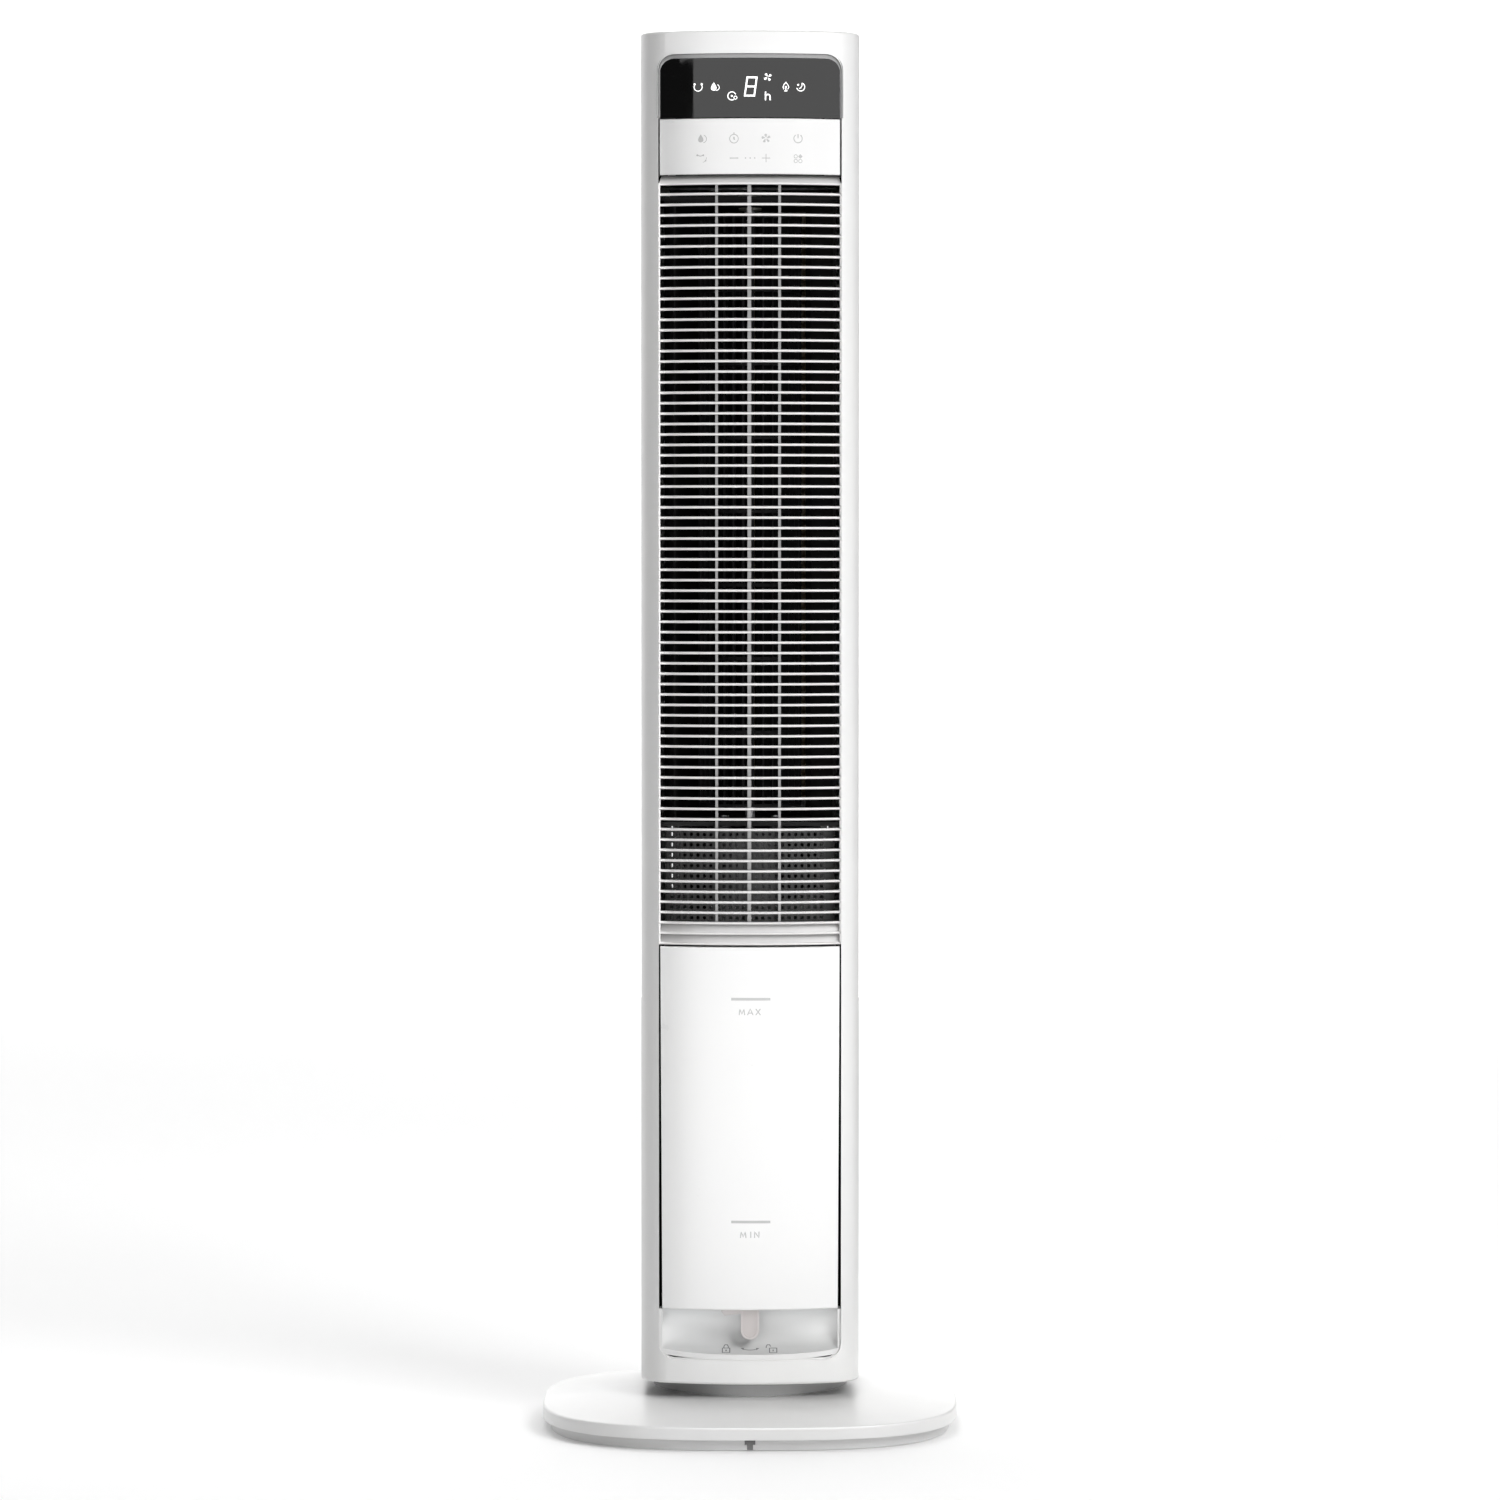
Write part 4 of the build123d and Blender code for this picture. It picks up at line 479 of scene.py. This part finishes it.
# level marks on the tank: a bar and a word for the highest and lowest water level
LETTERS = {
    "M": [[(-1, -1), (-0.75, 1), (0, -0.8), (0.75, 1), (1, -1)]],
    "A": [[(-1, -1), (0, 1), (1, -1)], [(-0.6, -0.35), (0.6, -0.35)]],
    "X": [[(-0.85, -1), (0.85, 1)], [(-0.85, 1), (0.85, -1)]],
    "I": [[(0, -1), (0, 1)]],
    "N": [[(-0.8, -1), (-0.8, 1), (0.8, -1), (0.8, 1)]],
}
MAX_Z = 334.6
MIN_Z = 163.4
BAR_HALF = 15.0
BAR_THICK = 2.0
WORD_DROP = 9.8
LETTER_HALF = 2.1
LETTER_TALL = 2.4
LETTER_THICK = 0.75
level_marks = Marks(on_face)
for word, z_bar, offsets in (("MAX", MAX_Z, (-6.2, 0.2, 6.2)), ("MIN", MIN_Z, (-5.2, 0.6, 5.2))):
    level_marks.stroke([(0.6 - BAR_HALF, z_bar), (0.6 + BAR_HALF, z_bar)], BAR_THICK)
    for letter, dx in zip(word, offsets):
        for line in LETTERS[letter]:
            outline = [(dx + px * LETTER_HALF, z_bar - WORD_DROP + pz * LETTER_TALL) for px, pz in line]
            level_marks.stroke(outline, LETTER_THICK)
level_marks.finish("tank_level_marks", ink_pale, "tank")

# lock marks on the apron's hollow
SCOOP = ((-85.2, 61.1), (-70.5, 67.2), (-60.6, 95.0))


def circle_through(points):
    (ax, ay), (bx, by), (cx, cy) = points
    d = 2 * (ax * (by - cy) + bx * (cy - ay) + cx * (ay - by))
    ux = ((ax**2 + ay**2) * (by - cy) + (bx**2 + by**2) * (cy - ay) + (cx**2 + cy**2) * (ay - by)) / d
    uy = ((ax**2 + ay**2) * (cx - bx) + (bx**2 + by**2) * (ax - cx) + (cx**2 + cy**2) * (bx - ax)) / d
    return ux, uy, math.hypot(ax - ux, ay - uy)


SCOOP_Y, SCOOP_Z, SCOOP_R = circle_through(SCOOP)


def on_scoop(x, s, lift):
    """s is the length along the hollow from its front edge."""
    start = math.atan2(SCOOP[0][1] - SCOOP_Z, SCOOP[0][0] - SCOOP_Y)
    a = start + s / SCOOP_R
    r = SCOOP_R - lift
    return Vector((x * MM, (SCOOP_Y + r * math.cos(a)) * MM, (SCOOP_Z + r * math.sin(a)) * MM))


apron = Marks(on_scoop, 0.06)
for cx, shut in ((-18.4, True), (17.8, False)):
    apron.stroke([(cx - 2.8, 5.0), (cx + 2.8, 5.0), (cx + 2.8, 11.6), (cx - 2.8, 11.6)], 0.75, True)
    apron.stroke([(cx, 7.2), (cx, 9.6)], 1.0)
    left = cx if shut else cx - 3.6
    bow = [(left - 1.7, 11.8), (left - 1.7, 13.4), (left - 0.9, 15.4), (left + 0.9, 15.4), (left + 1.7, 13.4)]
    if shut:
        bow.append((left + 1.7, 11.8))
    apron.stroke(bow, 0.75)
apron.stroke([(t * 6.4, 8.9 + t * t * 2.1) for t in (-1, -0.75, -0.5, -0.25, 0, 0.25, 0.5, 0.75, 1)], 0.75)
for side in (-1, 1):
    apron.fill([(side * 4.6, 11.7), (side * 7.2, 11.6), (side * 5.0, 8.9)][::side])
apron.finish("lock_marks", ink_dark, "tower")

# soft bead that closes the gap between the apron and the bezel
BEAD_SIDE = 69.8
BEAD_FOOT = 57.2
BEAD_TOP = 95.0
BEAD_R = 12.0
BEAD_DEEP = 1.5
BEAD_THICK = 1.2
BEAD_WIDE = 1.7
bead_path = [(-BEAD_SIDE, BEAD_TOP)]
for i in range(7):
    a = math.radians(180 + 15 * i)
    bead_path.append((-BEAD_SIDE + BEAD_R + BEAD_R * math.cos(a), BEAD_FOOT + BEAD_R + BEAD_R * math.sin(a)))
bead_path += [(-x, z) for x, z in reversed(bead_path)]
bead = Marks(lambda x, z, lift: on_face(x, z, lift - BEAD_DEEP), BEAD_THICK)
bead.stroke(bead_path, BEAD_WIDE)
bead.finish("apron_bead", materials["apron_white"], "tower")

# foam strip that closes the gap under the filter
filter_low, filter_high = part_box("filter_frame")
SEAL_THICK = 4.0
SEAL_TALL = 7.0
SEAL_Z = filter_low.z / MM - 2.6
SEAL_X = filter_high.x / MM
seal = Marks(lambda x, z, lift: Vector((x * MM, filter_low.y + (3 - lift) * MM, z * MM)), SEAL_THICK)
seal.stroke([(-SEAL_X, SEAL_Z), (SEAL_X, SEAL_Z)], SEAL_TALL)
seal.finish("filter_seal", materials["filter_cloth"], "rear_filter")

# ------------------------------------------------------------------ floor, backdrop, light, camera
def stage_sheet(name, corners, material):
    mesh = bpy.data.meshes.new(name)
    mesh.from_pydata(corners, [], [(0, 1, 2, 3)])
    made = bpy.data.objects.new(name, mesh)
    bpy.context.scene.collection.objects.link(made)
    mesh.materials.append(material)
    return made


floor_paint, tree, shader = new_material("floor_paint")
tone = noise(tree, object_coords(tree), 1.5, 2.0)
tree.links.new(mix_colour(tree, tone, (0.83, 0.83, 0.83), (0.85, 0.85, 0.85)), shader.inputs["Base Color"])
shader.inputs["Emission Color"].default_value = (1, 1, 1, 1)
shader.inputs["Emission Strength"].default_value = 0.16
shader.inputs["Roughness"].default_value = 0.9
shader.inputs["Specular IOR Level"].default_value = 0.1
HALF_ROOM = 9
WALL_Y = 4
WALL_TOP = 7
stage_sheet("floor", [(-HALF_ROOM, -HALF_ROOM, 0), (HALF_ROOM, -HALF_ROOM, 0),
                      (HALF_ROOM, WALL_Y, 0), (-HALF_ROOM, WALL_Y, 0)], floor_paint)

# dark flag behind the right edge, seen only in that edge's gloss
flag_paint, tree, shader = new_material("flag_paint")
tone = noise(tree, object_coords(tree), 3.0)
tree.links.new(mix_colour(tree, tone, (0.02, 0.02, 0.02), (0.03, 0.03, 0.03)), shader.inputs["Base Color"])
shader.inputs["Roughness"].default_value = 0.9
FLAG_TOP = 1.5
FLAG_NEAR = (0.5, 0.15)
FLAG_FAR = (0.62, 2.2)
flag = stage_sheet("flag", [(*FLAG_NEAR, 0.0), (*FLAG_FAR, 0.0),
                            (*FLAG_FAR, FLAG_TOP), (*FLAG_NEAR, FLAG_TOP)], flag_paint)
flag.visible_camera = False
flag.visible_diffuse = False
flag.visible_shadow = False

wall_paint, tree, shader = new_material("backdrop_paint")
shader.inputs["Base Color"].default_value = (0.9, 0.9, 0.9, 1)
shader.inputs["Emission Color"].default_value = (1, 1, 1, 1)
shader.inputs["Emission Strength"].default_value = 1.0
stage_sheet("backdrop", [(-HALF_ROOM, WALL_Y, 0), (HALF_ROOM, WALL_Y, 0),
                         (HALF_ROOM, WALL_Y, WALL_TOP), (-HALF_ROOM, WALL_Y, WALL_TOP)], wall_paint)


def area_light(name, place, target, width, height, radiance):
    data = bpy.data.lights.new(name, "AREA")
    data.shape = "RECTANGLE"
    data.size, data.size_y = width, height
    data.energy = radiance * math.pi * width * height
    made = bpy.data.objects.new(name, data)
    bpy.context.scene.collection.objects.link(made)
    made.location = place
    made.rotation_mode = "QUATERNION"
    made.rotation_quaternion = (Vector(target) - Vector(place)).to_track_quat("-Z", "Y")
    return made


def gloss_only(light):
    """Makes a light a reflector card that is seen in glossy surfaces and does not light them."""
    light.visible_diffuse = False
    light.visible_camera = False


def card(name, x0, x1, z0, z1):
    """Upright card in front of the fan."""
    middle = ((x0 + x1) / 2, CARD_Y, (z0 + z1) / 2)
    gloss_only(area_light(name, middle, (middle[0], 0, middle[2]), x1 - x0, z1 - z0, CARD_RADIANCE))


CARD_Y = -0.6
CARD_FOOT = 0.01
CARD_TOP = 1.5
CARD_RADIANCE = 7
GAP = -CARD_Y - 0.08
EDGE_WIDE = -0.055 - GAP * math.tan(math.radians(30.8))
EDGE_NEAR = -0.044 - GAP * math.tan(math.radians(24.7))
RIGHT = 0.084 + GAP * math.tan(math.radians(66))
WINDOW_LOW = 1.04
WINDOW_HIGH = 1.105
card("card_low", EDGE_WIDE, RIGHT, CARD_FOOT, WINDOW_LOW)
card("card_window", EDGE_NEAR, RIGHT, WINDOW_LOW, WINDOW_HIGH)
card("card_high", EDGE_WIDE, RIGHT, WINDOW_HIGH, CARD_TOP)
gloss_only(area_light("card_right", (1.0, -0.22, 0.75), (0.08, -0.1, 0.75), 0.9, 1.5, 3))
area_light("key", (3.5, -4.1, 4.6), (0, 0, 0.4), 2.9, 2.9, 8.0)
area_light("top", (-0.4, 0.5, 3.0), (0, -0.1, 0), 1.6, 1.6, 3.2)

world = bpy.data.worlds.new("studio")
bpy.context.scene.world = world
world.use_nodes = True
world.node_tree.nodes["Background"].inputs["Color"].default_value = (1, 1, 1, 1)
world.node_tree.nodes["Background"].inputs["Strength"].default_value = 0.2

LENS_MM = 129.84
SENSOR_MM = 36
CAMERA_PLACE = (0.0, -4.217, 0.676)
CAMERA_TILT = 2.086
camera_data = bpy.data.cameras.new("camera")
camera_data.lens = LENS_MM
camera_data.sensor_width = SENSOR_MM
camera_data.clip_end = 50
camera = bpy.data.objects.new("camera", camera_data)
bpy.context.scene.collection.objects.link(camera)
camera.location = CAMERA_PLACE
camera.rotation_euler = (math.radians(90 - CAMERA_TILT), 0, 0)
bpy.context.scene.camera = camera
bpy.context.scene.view_settings.view_transform = "Standard"
